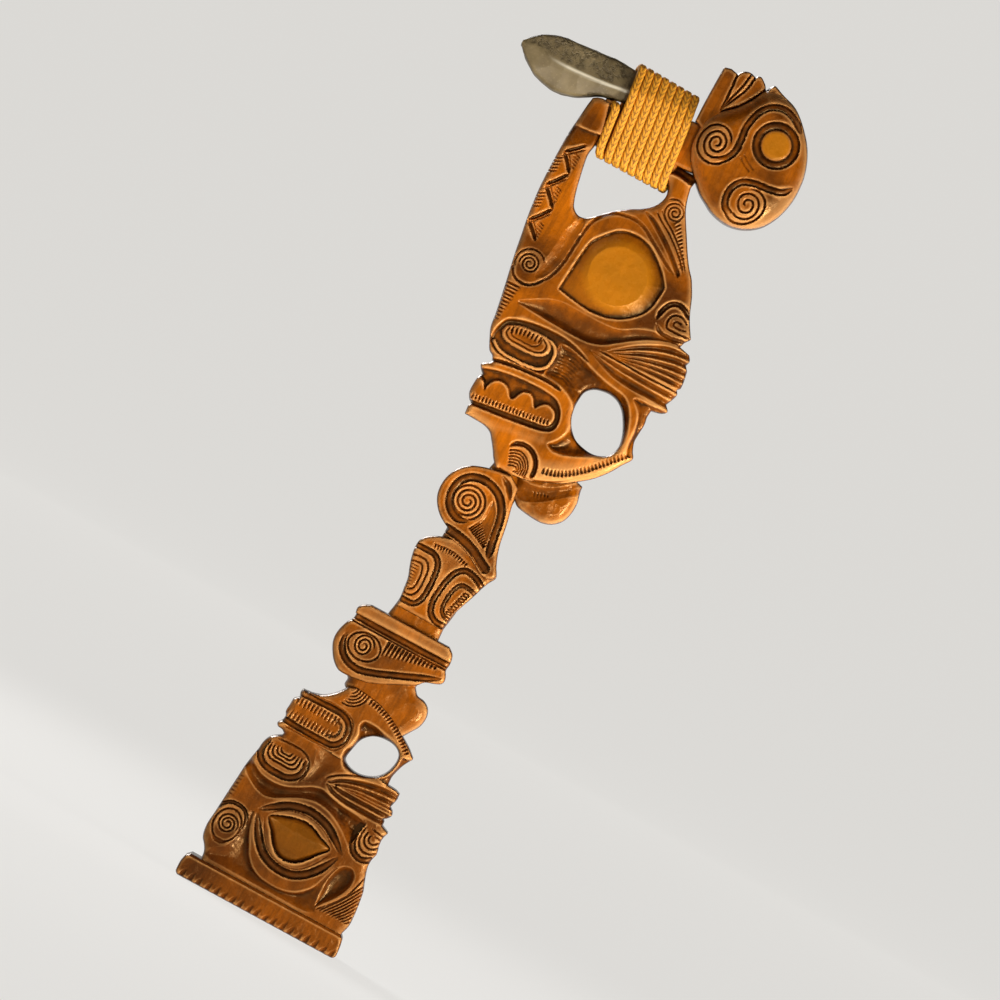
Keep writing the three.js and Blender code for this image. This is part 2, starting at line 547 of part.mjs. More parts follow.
// Carving shared by both faces
const carving = (side) => {
  const cut = (slab, points, width, depth, more = {}) => gouge(slab, points, { width, depth, side, ...more });
  const cuts = [];

  // Foot: a row of small hanging triangles along its lower edge
  const notchShape = new THREE.Shape([
    new THREE.Vector2(-FOOT_NOTCH_WIDTH / 2, -1), new THREE.Vector2(FOOT_NOTCH_WIDTH / 2, -1),
    new THREE.Vector2(FOOT_NOTCH_WIDTH / 5, FOOT_NOTCH_HEIGHT)]);
  for (let i = 0; i < FOOT_NOTCHES; i++) {
    const x = (2 * FOOT_HALF_WIDTH - 8) * (i / (FOOT_NOTCHES - 1) - 0.5);
    const notch = new THREE.ExtrudeGeometry(notchShape, { depth: 2 * FOOT_NOTCH_DEPTH, bevelEnabled: false });
    notch.translate(x, 0, -FOOT_NOTCH_DEPTH);
    notch.rotateX(Math.PI / 2);
    notch.translate(0, side * FOOT_HALF_DEPTH, 0);
    cuts.push(toSolid(notch));
  }

  // Lower head: the almond eye between two channels, cheek and ear spirals, nose and brow leaf
  cuts.push(cut(lowerHead, smooth([[-29, 58], [-22, 64.5], [-12.5, 70.7], [0, 73.5], [12.5, 70], [29, 59.5]],
    false, 11), 5, 3.2, { pointed: 2 }));
  cuts.push(cut(lowerHead, smooth([[-27.5, 56], [-22, 49], [-16, 40.5], [-9, 34.5], [0, 32.7], [9, 33.6],
    [18, 38.8], [25.5, 49], [29.5, 57]], false, 11), 6, 3.6, { pointed: 2 }));
  cuts.push(cut(lowerHead, smooth([[-50, 51], [-46.5, 56.5], [-40, 57.5], [-34, 55], [-30, 48]], false, 9), 3, 2));
  cuts.push(cut(lowerHead, smooth([[-44, 95], [-42.5, 88.5], [-37, 84.6], [-30, 83.5], [-22, 84.5], [-17, 88.5],
    [-15, 95]], false, 9), 4.4, 3, { pointed: 1 }));
  for (const [from, to] of [[[4, 96], [47, 89.4]], [[10, 100], [47, 95.8]], [[14, 104], [47, 103]]]) {
    const mid = [(from[0] + to[0]) / 2, (from[1] + to[1]) / 2 + 1.6];
    cuts.push(cut(lowerHead, smooth([from, mid, to], false, 12), 3.2, 2.6, { pointed: 1 }));
  }

  // Lower mouth: a channel round the bared teeth
  cuts.push(cut(lowerJaw, smooth([[-47, 135], [-30, 135], [-14, 134.8], [-7.5, 131.5], [-5, 125.5], [-7.3, 119],
    [-14, 116.2], [-28, 115.8], [-47, 116.3]], false, 10), 4.8, 3.4));

  // Spool: an oval spiral that runs out into the lower band, and a grooved waist
  cuts.push(cut(spool, smooth([[31, 185], [20, 180.6], [5, 174.4], [-10, 168], [-22, 165.6], [-30, 169.5],
    [-33.4, 178], [-30, 186], [-20.5, 188], [-11.5, 184], [-11, 176.5], [-19, 172], [-26.6, 176], [-26, 182.4],
    [-19, 183]], false, 7), 3, 2.2, { pointed: 1 }));
  cuts.push(cut(spool, smooth([[-37, 192.2], [-10, 192], [35, 192.2]], false, 40), 4.4, 3));

  // Block: two facing D shapes
  cuts.push(cut(block, smooth([[-19, 251], [-10, 251.3], [-4.5, 246], [-3, 235], [-3.4, 222], [-8, 217],
    [-15.5, 216.5]], false, 9), 4.2, 3, { pointed: 1 }));
  cuts.push(cut(block, smooth([[28, 244.5], [19.5, 247.6], [12.5, 247.5], [8, 242.5], [6.4, 232], [6, 222],
    [9.6, 216.4], [17.5, 214.5]], false, 9), 4.2, 3, { pointed: 1 }));

  // Teardrop: a spiral eye in a ring channel that tails off downwards
  cuts.push(cut(teardrop, spiral(-6.5, 289, 3.4, 11.2, 0.3, 1.6), 2.6, 1.8));
  cuts.push(cut(teardrop, smooth([[23.5, 267], [19.5, 279], [17.5, 288], [13.5, 296.5], [6, 303], [-4, 305.5],
    [-13, 302], [-18.5, 294], [-18.5, 285], [-13, 278.5], [-5, 276.5], [3, 280]], false, 9), 4.6, 3.2,
  { pointed: 2 }));

  // Upper mouth: lips round a row of teeth, and the curl of the chin
  cuts.push(cut(head, smooth([[-42, 365], [-25, 368], [-10, 370.2], [4, 370.8], [13, 368.6], [18.4, 363],
    [18.6, 356], [14.5, 351.3], [4, 348.6], [-12, 346.4], [-25, 344.8], [-40, 342.4]], false, 11), 4.4, 3.4));
  cuts.push(cut(head, smooth([[0, 332], [7.5, 335], [15, 333.4], [20, 328.5], [22.4, 322], [21.6, 316]], false, 9),
    3.6, 2.6, { pointed: 1 }));

  // Upper nose: an oval ring round a smaller one
  cuts.push(cut(head, oval(-21.5, 393, 17.5, 10, 14), 4.2, 3.2, { closed: true }));

  // Brow: a long wave sunk between the nose and the eye
  cuts.push(sunk(head, join(
    smooth([[-34, 415.4], [-20, 423.5], [-12, 425.6], [15, 425.8], [28, 429.2], [38, 434.4], [64, 436.4]], false, 12),
    smooth([[52, 432.6], [35, 424], [25, 418], [12, 412.6], [0, 411], [-12, 411.8]], false, 12)),
  { depth: 4, slope: 2, side }));
  for (const [from, mid, to] of [
    [[26, 412], [48, 423], [80, 429.4]], [[28, 410.4], [50, 417.2], [80, 421]],
    [[30, 409], [52, 412], [80, 413]], [[30, 406.4], [52, 406.6], [80, 405]]]) {
    cuts.push(cut(head, smooth([from, mid, to], false, 15), 3.4, 2.8, { pointed: 1 }));
  }

  // Eye: a dish with a sharp rim, and a groove outside it that ends in the cheek spiral
  cuts.push(sunk(head, join(
    smooth([[38.2, 463.8], [33, 470.5], [27, 476], [20, 481], [12, 484], [3, 484.2], [-5, 481], [-12, 474],
      [-16.5, 467], [-18.5, 456], [-19.5, 444], [-19.8, 432], [-13, 430], [-4, 429], [5, 428.6], [15, 430],
      [24, 433.8], [31, 439.4], [35.5, 446.5], [37.8, 455]], false, 9),
  ), { depth: 5.5, slope: 5, side }));
  cuts.push(cut(head, join(spiral(-43, 437, 3.2, 8.4, -0.67, 1.2),
    smooth([[-50.4, 431], [-45, 424.6], [-38, 424.8], [-31.6, 430], [-27.2, 438], [-25, 449], [-23.8, 462]],
      false, 8)), 2.6, 2));
  cuts.push(cut(head, smooth([[-22.4, 478], [-17, 485.5], [-7, 491.8], [2, 492.6], [11, 489.4], [24.5, 481],
    [38, 473]], false, 11), 2.6, 2, { pointed: 1 }));

  // Fork: a zigzag up the outer arm, a small spiral and flow lines on the inner one
  const zigzag = [[-47, 518], [-57.6, 508.5], [-48.4, 496.4], [-57.4, 484.5]];
  cuts.push(cut(head, smooth(zigzag, false, 9), 4, 2.6, { pointed: 1 }));
  cuts.push(cut(head, smooth([[-57, 479], [-47.4, 473], [-56, 461], [-46.8, 451]], false, 9), 4, 2.6, { pointed: 1 }));

  // Knob: a round eye in a ring channel, and two scrolls
  cuts.push(cut(knob, oval(56.5, SPAR_UNDERSIDE + 53.5, 11.9, 11.9, 16), 5.2, 3.6, { closed: true }));
  cuts.push(cut(knob, smooth(onSpar([[67, 70], [57, 76.5], [46, 76.7], [38, 71.7], [33.8, 63.5], [33.6, 51.5],
    [36.2, 39.5], [33, 31.3], [25.5, 27.7], [18, 29.9], [14.4, 37.5], [17.6, 45.5], [25, 47.1], [28.6, 41.1],
    [25.6, 35.5], [21.5, 37.1]]), false, 7.6), 3.4, 2.6, { pointed: 1 }));
  cuts.push(cut(knob, smooth(onSpar([[78.5, 36.5], [72, 30.5], [64, 28.1], [54, 27.9], [46.6, 24.1], [43.8, 16.5],
    [45.4, 8.5], [51, 2.7], [59, 1.5], [65.6, 7.1], [66.8, 15.5], [62, 21.1], [55, 20.1], [51.8, 14.1],
    [55, 8.9]]), false, 7.6), 3.4, 2.6, { pointed: 1 }));
  for (const points of [[[15.2, 85.5], [14.6, 69.5], [15.4, 56.5]], [[21.5, 89.5], [19.4, 73.5], [16.6, 60.5]],
    [[25.6, 89.5], [22.8, 76.5], [18.4, 62.5]], [[36, 87.5], [31, 73.5], [24, 62.5], [16.8, 55.9]]]) {
    cuts.push(cut(tuft, smooth(onSpar(points), false, 15), 2.8, 2.8, { pointed: 1 }));
  }
  return cuts;
};

// The dome of each eye, which stands in its dish
function eyeDome(side) {
  const radius = 19;
  const rise = 4.6;
  const profile = [[0, rise], [0.6, rise * 0.88], [1, 0], [1, -4], [0, -4]];
  const dome = new THREE.LatheGeometry(profile.map(([r, y]) => new THREE.Vector2(r * radius, y)), 18);
  if (side < 0) dome.rotateX(Math.PI);
  dome.translate(10, side * (head.depthAt(455) - 5.5), 455);
  return toSolid(dome);
}

// Scallops at the edge, where the flutes of a brow leaf run round the side
function edgeFlute(x, z, radius, halfDepth) {
  const flute = new THREE.CylinderGeometry(radius, radius, 2 * halfDepth + 4, 8);
  flute.translate(x, 0, z);
  return toSolid(flute);
}

function buildHaft() {
  const slabs = [foot, lowerHead, lowerJaw, lowerChin, spool, spoolBand, neck, block, teardrop, upperChin,
    head, spar, knobNeck, knob, tuft];
  let haft = wasm.Manifold.union(slabs.map((slab) => slab.solid()));
  const flutes = [];
  for (const z of [89.4, 95.8, 103]) flutes.push(edgeFlute(46.4, z, 2.2, LOWER_HEAD_HALF_DEPTH));
  for (const z of [405, 413, 421, 429.2]) flutes.push(edgeFlute(78.4, z, 3, HEAD_HALF_DEPTH));
  haft = wasm.Manifold.difference([haft, ...flutes, ...bothSides(carving).flat(), ...bothSides(lashingSeat),
    cordGroove()]);
  haft = wasm.Manifold.union([haft, ...bothSides(eyeDome)]);
  // Read back as one plain mesh, so that the slivers left between cuts can go
  return toGeometry(toSolid(toGeometry(haft)).simplify(MESH_SLACK));
}

// Stone blade: ground faces between the cutting edge, which lies along Y, and the butt on the spar.
// Each station is [x, underside, side ridge, top, share of the half width at the top].
function bladeHalfWidth(x) {
  const t = (x - BLADE_TIP) / (BLADE_BUTT - BLADE_TIP);
  const taper = THREE.MathUtils.lerp(BLADE_EDGE_HALF_WIDTH, BLADE_BUTT_HALF_WIDTH, t);
  return taper * (1 - 0.12 * Math.max(0, 1 - t * 8));
}

const bladeTop = (x) => BLADE_TOP - 0.03 * (x - BLADE_SEATED);
const bladeRidge = (x) => BLADE_RIDGE + 0.16 * (x - BLADE_SEATED);

const bladeUnderside = (x) => seatAt(x) + SEAT_GAP;
const freeStations = [
  [0, -6.2, -5.8, -5.4, 0.96], [3, -9.6, -5.4, -1, 0.9], [8.4, -15, -5, 4.4, 0.8], [16, -20, -5.4, 8.4, 0.72],
  [25, -22.4, -6, 10, 0.66], [35, -23.2, -5.8, 11.2, 0.62], [45, -20.6, -5.2, 12.2, 0.6], [53, -16.4, -4.6, 13, 0.58],
].map(([along, under, ridge, top, share]) => [
  BLADE_TIP + (along / 59) * (BLADE_SEATED - BLADE_TIP),
  SEAT_HEIGHT + under, SEAT_HEIGHT + ridge, SEAT_HEIGHT + top, share]);
const bladeStations = [
  ...freeStations,
  ...[BLADE_SEATED, -40, -18, -3].map((x) => [x, bladeUnderside(x), bladeRidge(x), bladeTop(x), BLADE_TOP_SHARE]),
  [BLADE_BUTT, bladeUnderside(BLADE_BUTT) + 1, SEAT_HEIGHT + 5.4, SEAT_HEIGHT + 9, 0.5],
];

function buildBlade() {
  const rings = bladeStations.map(([x, under, ridge, top, share]) => {
    const wide = bladeHalfWidth(x);
    const low = wide * Math.min(1, share + 0.22);
    const high = wide * share;
    return [[low, under], [wide, ridge], [high, top], [-high, top], [-wide, ridge], [-low, under]]
      .map(([y, z]) => [x, y, z]);
  });
  return loft(rings);
}

// Lashing cord: one unbroken tube. A short turn goes round the spar alone, in a groove under the
// blade, and the full turns go round spar and blade. Each point lies off the convex bundle by half
// the cord and the seat gap, in the direction that its place in the turn gives.
function bundleCorners(x, withBlade) {
  const half = SPAR_HALF_DEPTH;
  const corners = [[half - 1.2, SPAR_UNDERSIDE], [half - 0.05, SPAR_UNDERSIDE + 3]];
  if (withBlade) {
    corners.push([half, seatAt(x) - 2], [bladeHalfWidth(x), bladeRidge(x)]);
    corners.push([bladeHalfWidth(x) * BLADE_TOP_SHARE, bladeTop(x) + 0.2]);
  } else {
    corners.push([half, seatAt(x) - CORD_GROOVE]);
  }
  return corners.concat(corners.map(([y, z]) => [-y, z]));
}

function cordRoute() {
  const offset = CORD_DIAMETER / 2 + SEAT_GAP;
  const points = [];
  for (let i = 0; i <= (CORD_TURNS + CORD_TAIL) * CORD_STEPS; i++) {
    const turn = i / CORD_STEPS;
    const angle = turn * 2 * Math.PI;
    const out = [Math.cos(angle), Math.sin(angle)];
    const corners = bundleCorners(Math.min(cordX(turn, CORD_MIDDLE), 0), turn > 0.75);
    const reach = (c) => c[0] * out[0] + c[1] * out[1];
    const corner = corners.reduce((best, c) => (reach(c) > reach(best) ? c : best));
    const y = corner[0] + offset * out[0];
    const z = corner[1] + offset * out[1];
    points.push(new THREE.Vector3(cordX(turn, z), y, z));
  }
  return points;
}

function cordTube(points, radius, sides) {
  const axis = new THREE.Vector3(1, 0, 0);
  return loft(points.map((point, i) => {
    const before = points[Math.max(i - 1, 0)];
    const after = points[Math.min(i + 1, points.length - 1)];
    const along = after.clone().sub(before).normalize();
    const out = new THREE.Vector3().crossVectors(along, axis).normalize();
    const across = new THREE.Vector3().crossVectors(out, along);
    return Array.from({ length: sides }, (_, k) => {
      const a = ((k + 0.5) / sides) * 2 * Math.PI;
      const p = point.clone().addScaledVector(out, radius * Math.cos(a));
      return p.addScaledVector(across, radius * Math.sin(a)).toArray();
    });
  }));
}

// The least gap of the tube to itself, between points more than half a turn apart
function leastGap(points, diameter) {
  const fine = [];
  for (let i = 0; i < points.length - 1; i++) {
    for (let k = 0; k < 4; k++) fine.push(points[i].clone().lerp(points[i + 1], k / 4));
  }
  let least = Infinity;
  const apart = (CORD_STEPS / 2) * 4;
  for (let i = 0; i < fine.length; i++) {
    for (let j = i + apart; j < fine.length; j++) least = Math.min(least, fine[i].distanceTo(fine[j]));
  }
  return least - diameter;
}

function buildCord() {
  const points = cordRoute();
  console.log('least gap of the cord to itself, mm:', leastGap(points, CORD_DIAMETER).toFixed(2));
  return cordTube(points, CORD_DIAMETER / 2, CORD_SIDES);
}

function named(name, geometry, material) {
  const mesh = new THREE.Mesh(geometry, material);
  mesh.name = name;
  return mesh;
}

const adze = new THREE.Group();
adze.add(named('haft', buildHaft(), carvedWood));
adze.add(named('stone_blade', buildBlade(), groundStone));
adze.add(named('lashing_cord', buildCord(), twistedCord));

export default adze;
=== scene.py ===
"""The ceremonial stone adze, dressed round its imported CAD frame.

The haft's masses are carved here: each is a fine grid cut to its outline, lowered by gouge cuts,
walled down to the middle plane and mirrored, so that both faces carry the same work.
Lengths are in millimetres until a mesh gets its places, which are in metres.
"""

from math import ceil, cos, pi, radians, sin

import bpy
import numpy as np
from mathutils import Matrix, Vector


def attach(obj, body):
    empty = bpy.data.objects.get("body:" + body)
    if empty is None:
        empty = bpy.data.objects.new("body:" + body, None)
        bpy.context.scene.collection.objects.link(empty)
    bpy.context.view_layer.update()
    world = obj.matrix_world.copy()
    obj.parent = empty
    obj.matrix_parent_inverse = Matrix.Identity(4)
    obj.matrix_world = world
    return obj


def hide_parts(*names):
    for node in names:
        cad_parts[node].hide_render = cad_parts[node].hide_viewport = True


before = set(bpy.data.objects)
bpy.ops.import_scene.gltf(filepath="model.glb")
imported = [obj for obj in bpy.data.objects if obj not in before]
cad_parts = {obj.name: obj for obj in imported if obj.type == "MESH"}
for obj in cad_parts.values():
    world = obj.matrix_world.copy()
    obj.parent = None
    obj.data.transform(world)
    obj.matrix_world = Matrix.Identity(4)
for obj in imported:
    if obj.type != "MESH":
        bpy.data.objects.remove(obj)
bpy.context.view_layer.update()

MM = 0.001
GRAIN = 0.5
CURVE_STEP = 1.0
SMOOTH_BELOW = 62
WALL_STEPS = (0.93, 0.55, 0.0)
FLOOR_RADIUS = 11.0

# The thinnest a cut gets at its ends, how wide its reed is, both as shares, and how far from a butt
# end the reed starts to rise to the land
THINNEST_CUT = 0.08
REED_WIDTH = 0.72
REED_RISE = 6

# How dark the cuts get: stain on their floors and by their depth, and stain with painted shade in narrow and
# wide hollows
STAIN = 0.5
OIL_BY_DEPTH = 0.2
OIL_AND_SHADE_IN_CORNERS = 0.6
OIL_AND_SHADE_IN_HOLLOWS = 0.42

# How pale the crests and swellings are made, partly wear and partly painted highlight, above a threshold
WEAR_AND_SHEEN_ON_EDGES = 1.1
WEAR_AND_SHEEN_ON_SWELLS = 0.4
WEAR_AND_SHEEN_FROM = 0.14

# Half depths of the masses, from the middle plane, as in the CAD haft
FOOT_HALF = 29.0
LOWER_HEAD_HALF = 25.0
LOWER_CHIN_HALF = 18.0
SPOOL_HALF = 24.5
SPOOL_BAND_HALF = 26.5
NECK_HALF = 15.0
BLOCK_HALF = 20.0
TEARDROP_HALF = 22.0
UPPER_CHIN_HALF = 20.0
HEAD_HALF = 28.5
ARM_TIP_HALF = 19.0
KNOB_HALF = 30.0
TUFT_HALF = 22.0
SPAR_HALF = 14.5

# Spar, blade and lashing, as in the CAD
SEAT_HEIGHT = 561.6
SEAT_TILT = 0.23
SPAR_UNDERSIDE = 520.5
CORD_SEAT = 2.55
CORD_THICKNESS = 5.2
CORD_PITCH = 5.4
CORD_TURNS = 8
CORD_START = -40.6
CORD_LEAD = 1.4
CORD_SLANT = 0.106
CORD_MIDDLE = 548.0
CORD_TAIL = 0.95
CORD_GROOVE = 5.4
CORD_LAY = 4.0
BLADE_TIP = -112.8
BLADE_BUTT = 1.0
BLADE_EDGE_HALF = 22.0
BLADE_BUTT_HALF = 12.0
BLADE_SEATED = -54.0
BLADE_TOP = 574.9
BLADE_RIDGE = 557.8
BLADE_TOP_SHARE = 0.56


# Curves in the carved face, as rows of (x, z)
def smooth(points, closed=False, step=CURVE_STEP):
    """A smooth curve through the points, with points about step apart."""
    p = np.array(points, float)
    if closed:
        p = np.vstack([p[-1], p, p[0], p[1]])
    else:
        p = np.vstack([2 * p[0] - p[1], p, 2 * p[-1] - p[-2]])
    rows = []
    for a, b, c, d in zip(p[:-3], p[1:-2], p[2:-1], p[3:]):
        t = np.cumsum([0] + [max(np.linalg.norm(v - u), 1e-6) ** 0.5 for u, v in ((a, b), (b, c), (c, d))])
        count = max(1, int(np.linalg.norm(c - b) / step))
        s = np.linspace(t[1], t[2], count, endpoint=False)[:, None]
        ab = (a * (t[1] - s) + b * (s - t[0])) / (t[1] - t[0])
        bc = (b * (t[2] - s) + c * (s - t[1])) / (t[2] - t[1])
        cd = (c * (t[3] - s) + d * (s - t[2])) / (t[3] - t[2])
        abc = (ab * (t[2] - s) + bc * (s - t[0])) / (t[2] - t[0])
        bcd = (bc * (t[3] - s) + cd * (s - t[1])) / (t[3] - t[1])
        rows.append((abc * (t[2] - s) + bcd * (s - t[1])) / (t[2] - t[1]))
    if not closed:
        rows.append(p[-2][None])
    return np.vstack(rows)


def join(*stretches):
    """One outline from several stretches, which meet at corners."""
    return np.vstack([np.array(s, float) for s in stretches])


def oval(cx, cz, rx, rz, count=48):
    """A closed oval round its middle."""
    a = np.linspace(0, 2 * pi, count, endpoint=False)
    return np.stack([cx + rx * np.cos(a), cz + rz * np.sin(a)], 1)


def arc(cx, cz, radius, start, stop, stretch=1.0):
    """Part of a circle, from start to stop in degrees, counter-clockwise from +X."""
    a = np.radians(np.linspace(start, stop, max(4, int(abs(stop - start) / 15))))
    return np.stack([cx + radius * stretch * np.cos(a), cz + radius * np.sin(a)], 1)


def spiral(cx, cz, inner, outer, start, turns, stretch=1.0):
    """A spiral from its eye outwards. start is in degrees, and turns above 0 run counter-clockwise."""
    t = np.linspace(0, 1, max(8, int(abs(turns) * 14)))
    a = radians(start) + turns * 2 * pi * t
    r = inner + (outer - inner) * t
    return np.stack([cx + r * stretch * np.cos(a), cz + r * np.sin(a)], 1)


def nearest(curve, x, z, closed=False):
    """For each place: its distance from the curve, how far along the curve that is, and the point there."""
    start = curve if closed else curve[:-1]
    stop = np.roll(curve, -1, axis=0) if closed else curve[1:]
    step = stop - start
    length = np.maximum(np.linalg.norm(step, axis=1), 1e-9)
    run = np.concatenate([[0], np.cumsum(length)[:-1]])
    away = np.empty(len(x))
    along = np.empty(len(x))
    foot = np.empty((len(x), 2))
    chunk = max(1, 3000000 // len(start))
    for i in range(0, len(x), chunk):
        px = x[i:i + chunk, None]
        pz = z[i:i + chunk, None]
        t = ((px - start[:, 0]) * step[:, 0] + (pz - start[:, 1]) * step[:, 1]) / length ** 2
        t = np.clip(t, 0, 1)
        fx = start[:, 0] + t * step[:, 0]
        fz = start[:, 1] + t * step[:, 1]
        gap = (px - fx) ** 2 + (pz - fz) ** 2
        best = gap.argmin(axis=1)
        row = np.arange(len(best))
        away[i:i + chunk] = np.sqrt(gap[row, best])
        along[i:i + chunk] = run[best] + t[row, best] * length[best]
        foot[i:i + chunk, 0] = fx[row, best]
        foot[i:i + chunk, 1] = fz[row, best]
    return away, along, foot, run[-1] + length[-1]


def within(outline, x, z):
    """True for each place inside a closed outline."""
    inside = np.zeros(len(x), bool)
    for (ax, az), (bx, bz) in zip(outline, np.roll(outline, -1, axis=0)):
        if az != bz:
            crossed = (az > z) != (bz > z)
            inside ^= crossed & (x < (bx - ax) * (z - az) / (bz - az) + ax)
    return inside


def ease(t):
    """Runs from 0 to 1 with a soft start and a soft end."""
    t = np.clip(t, 0, 1)
    return t * t * (3 - 2 * t)


def blur(field, reach):
    """The mean over squares of about reach mm, taken twice."""
    radius = max(1, int(round(reach / GRAIN / 2)))
    for axis in (0, 1, 0, 1):
        padded = np.concatenate([np.repeat(field.take([0], axis), radius + 1, axis), field,
                                 np.repeat(field.take([-1], axis), radius, axis)], axis)
        total = padded.cumsum(axis)
        size = field.shape[axis]
        high = total.take(range(2 * radius + 1, 2 * radius + 1 + size), axis)
        field = (high - total.take(range(size), axis)) / (2 * radius + 1)
    return field


def hollow(face, reach, full):
    """How far each place lies below those around it, as a share of full mm. Crests are below 0."""
    return (blur(face, reach) - face) / full


# Objects
def deselect():
    for o in bpy.context.selected_objects:
        o.select_set(False)


def take(obj):
    deselect()
    obj.select_set(True)
    bpy.context.view_layer.objects.active = obj


def places(obj):
    co = np.empty(len(obj.data.vertices) * 3, np.float64)
    obj.data.vertices.foreach_get("co", co)
    return co.reshape(-1, 3)


def set_places(obj, co):
    obj.data.vertices.foreach_set("co", np.ascontiguousarray(co, np.float64).ravel())
    obj.data.update()


def choose(obj, chosen):
    """Selects these vertices and nothing else, for the next step in edit mode."""
    mesh = obj.data
    mesh.polygons.foreach_set("select", np.zeros(len(mesh.polygons), bool))
    mesh.edges.foreach_set("select", np.zeros(len(mesh.edges), bool))
    mesh.vertices.foreach_set("select", chosen)
    mesh.update()


def chosen_vertices(obj):
    chosen = np.empty(len(obj.data.vertices), bool)
    obj.data.vertices.foreach_get("select", chosen)
    return chosen


def grid(name, columns, rows):
    """A flat grid from 0 to 1 on X and Y."""
    deselect()
    bpy.ops.mesh.primitive_grid_add(x_subdivisions=columns, y_subdivisions=rows, size=1)
    obj = bpy.context.object
    obj.name = name
    obj.data.name = name
    co = places(obj)
    co[:, :2] += 0.5
    set_places(obj, co)
    return obj


def note(obj, name, values):
    """Keeps one number for each vertex, which a material reads by its name."""
    layer = obj.data.attributes.get(name) or obj.data.attributes.new(name, "FLOAT", "POINT")
    layer.data.foreach_set("value", np.ascontiguousarray(values, np.float32).ravel())


def mirror_over(obj):
    """Closes a half with its image on the other side of the middle plane."""
    take(obj)
    mirror = obj.modifiers.new("Mirror", "MIRROR")
    mirror.use_axis = (False, True, False)
    mirror.use_mirror_merge = True
    mirror.merge_threshold = 1e-5
    bpy.ops.object.modifier_apply(modifier=mirror.name)


def finish_piece(obj, material, slot, *nodes):
    """Turns the faces outwards, smooths the shading, gives the piece its material, hangs it on the root body
    and hides the CAD parts it stands in for.
    """
    take(obj)
    bpy.ops.object.mode_set(mode="EDIT")
    bpy.ops.mesh.select_all(action="SELECT")
    bpy.ops.mesh.normals_make_consistent(inside=False)
    bpy.ops.object.mode_set(mode="OBJECT")
    bpy.ops.object.shade_smooth_by_angle(angle=radians(SMOOTH_BELOW))
    obj.data.materials.clear()
    obj.data.materials.append(material)
    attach(obj, "root")
    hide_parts(*nodes)
    deselect()


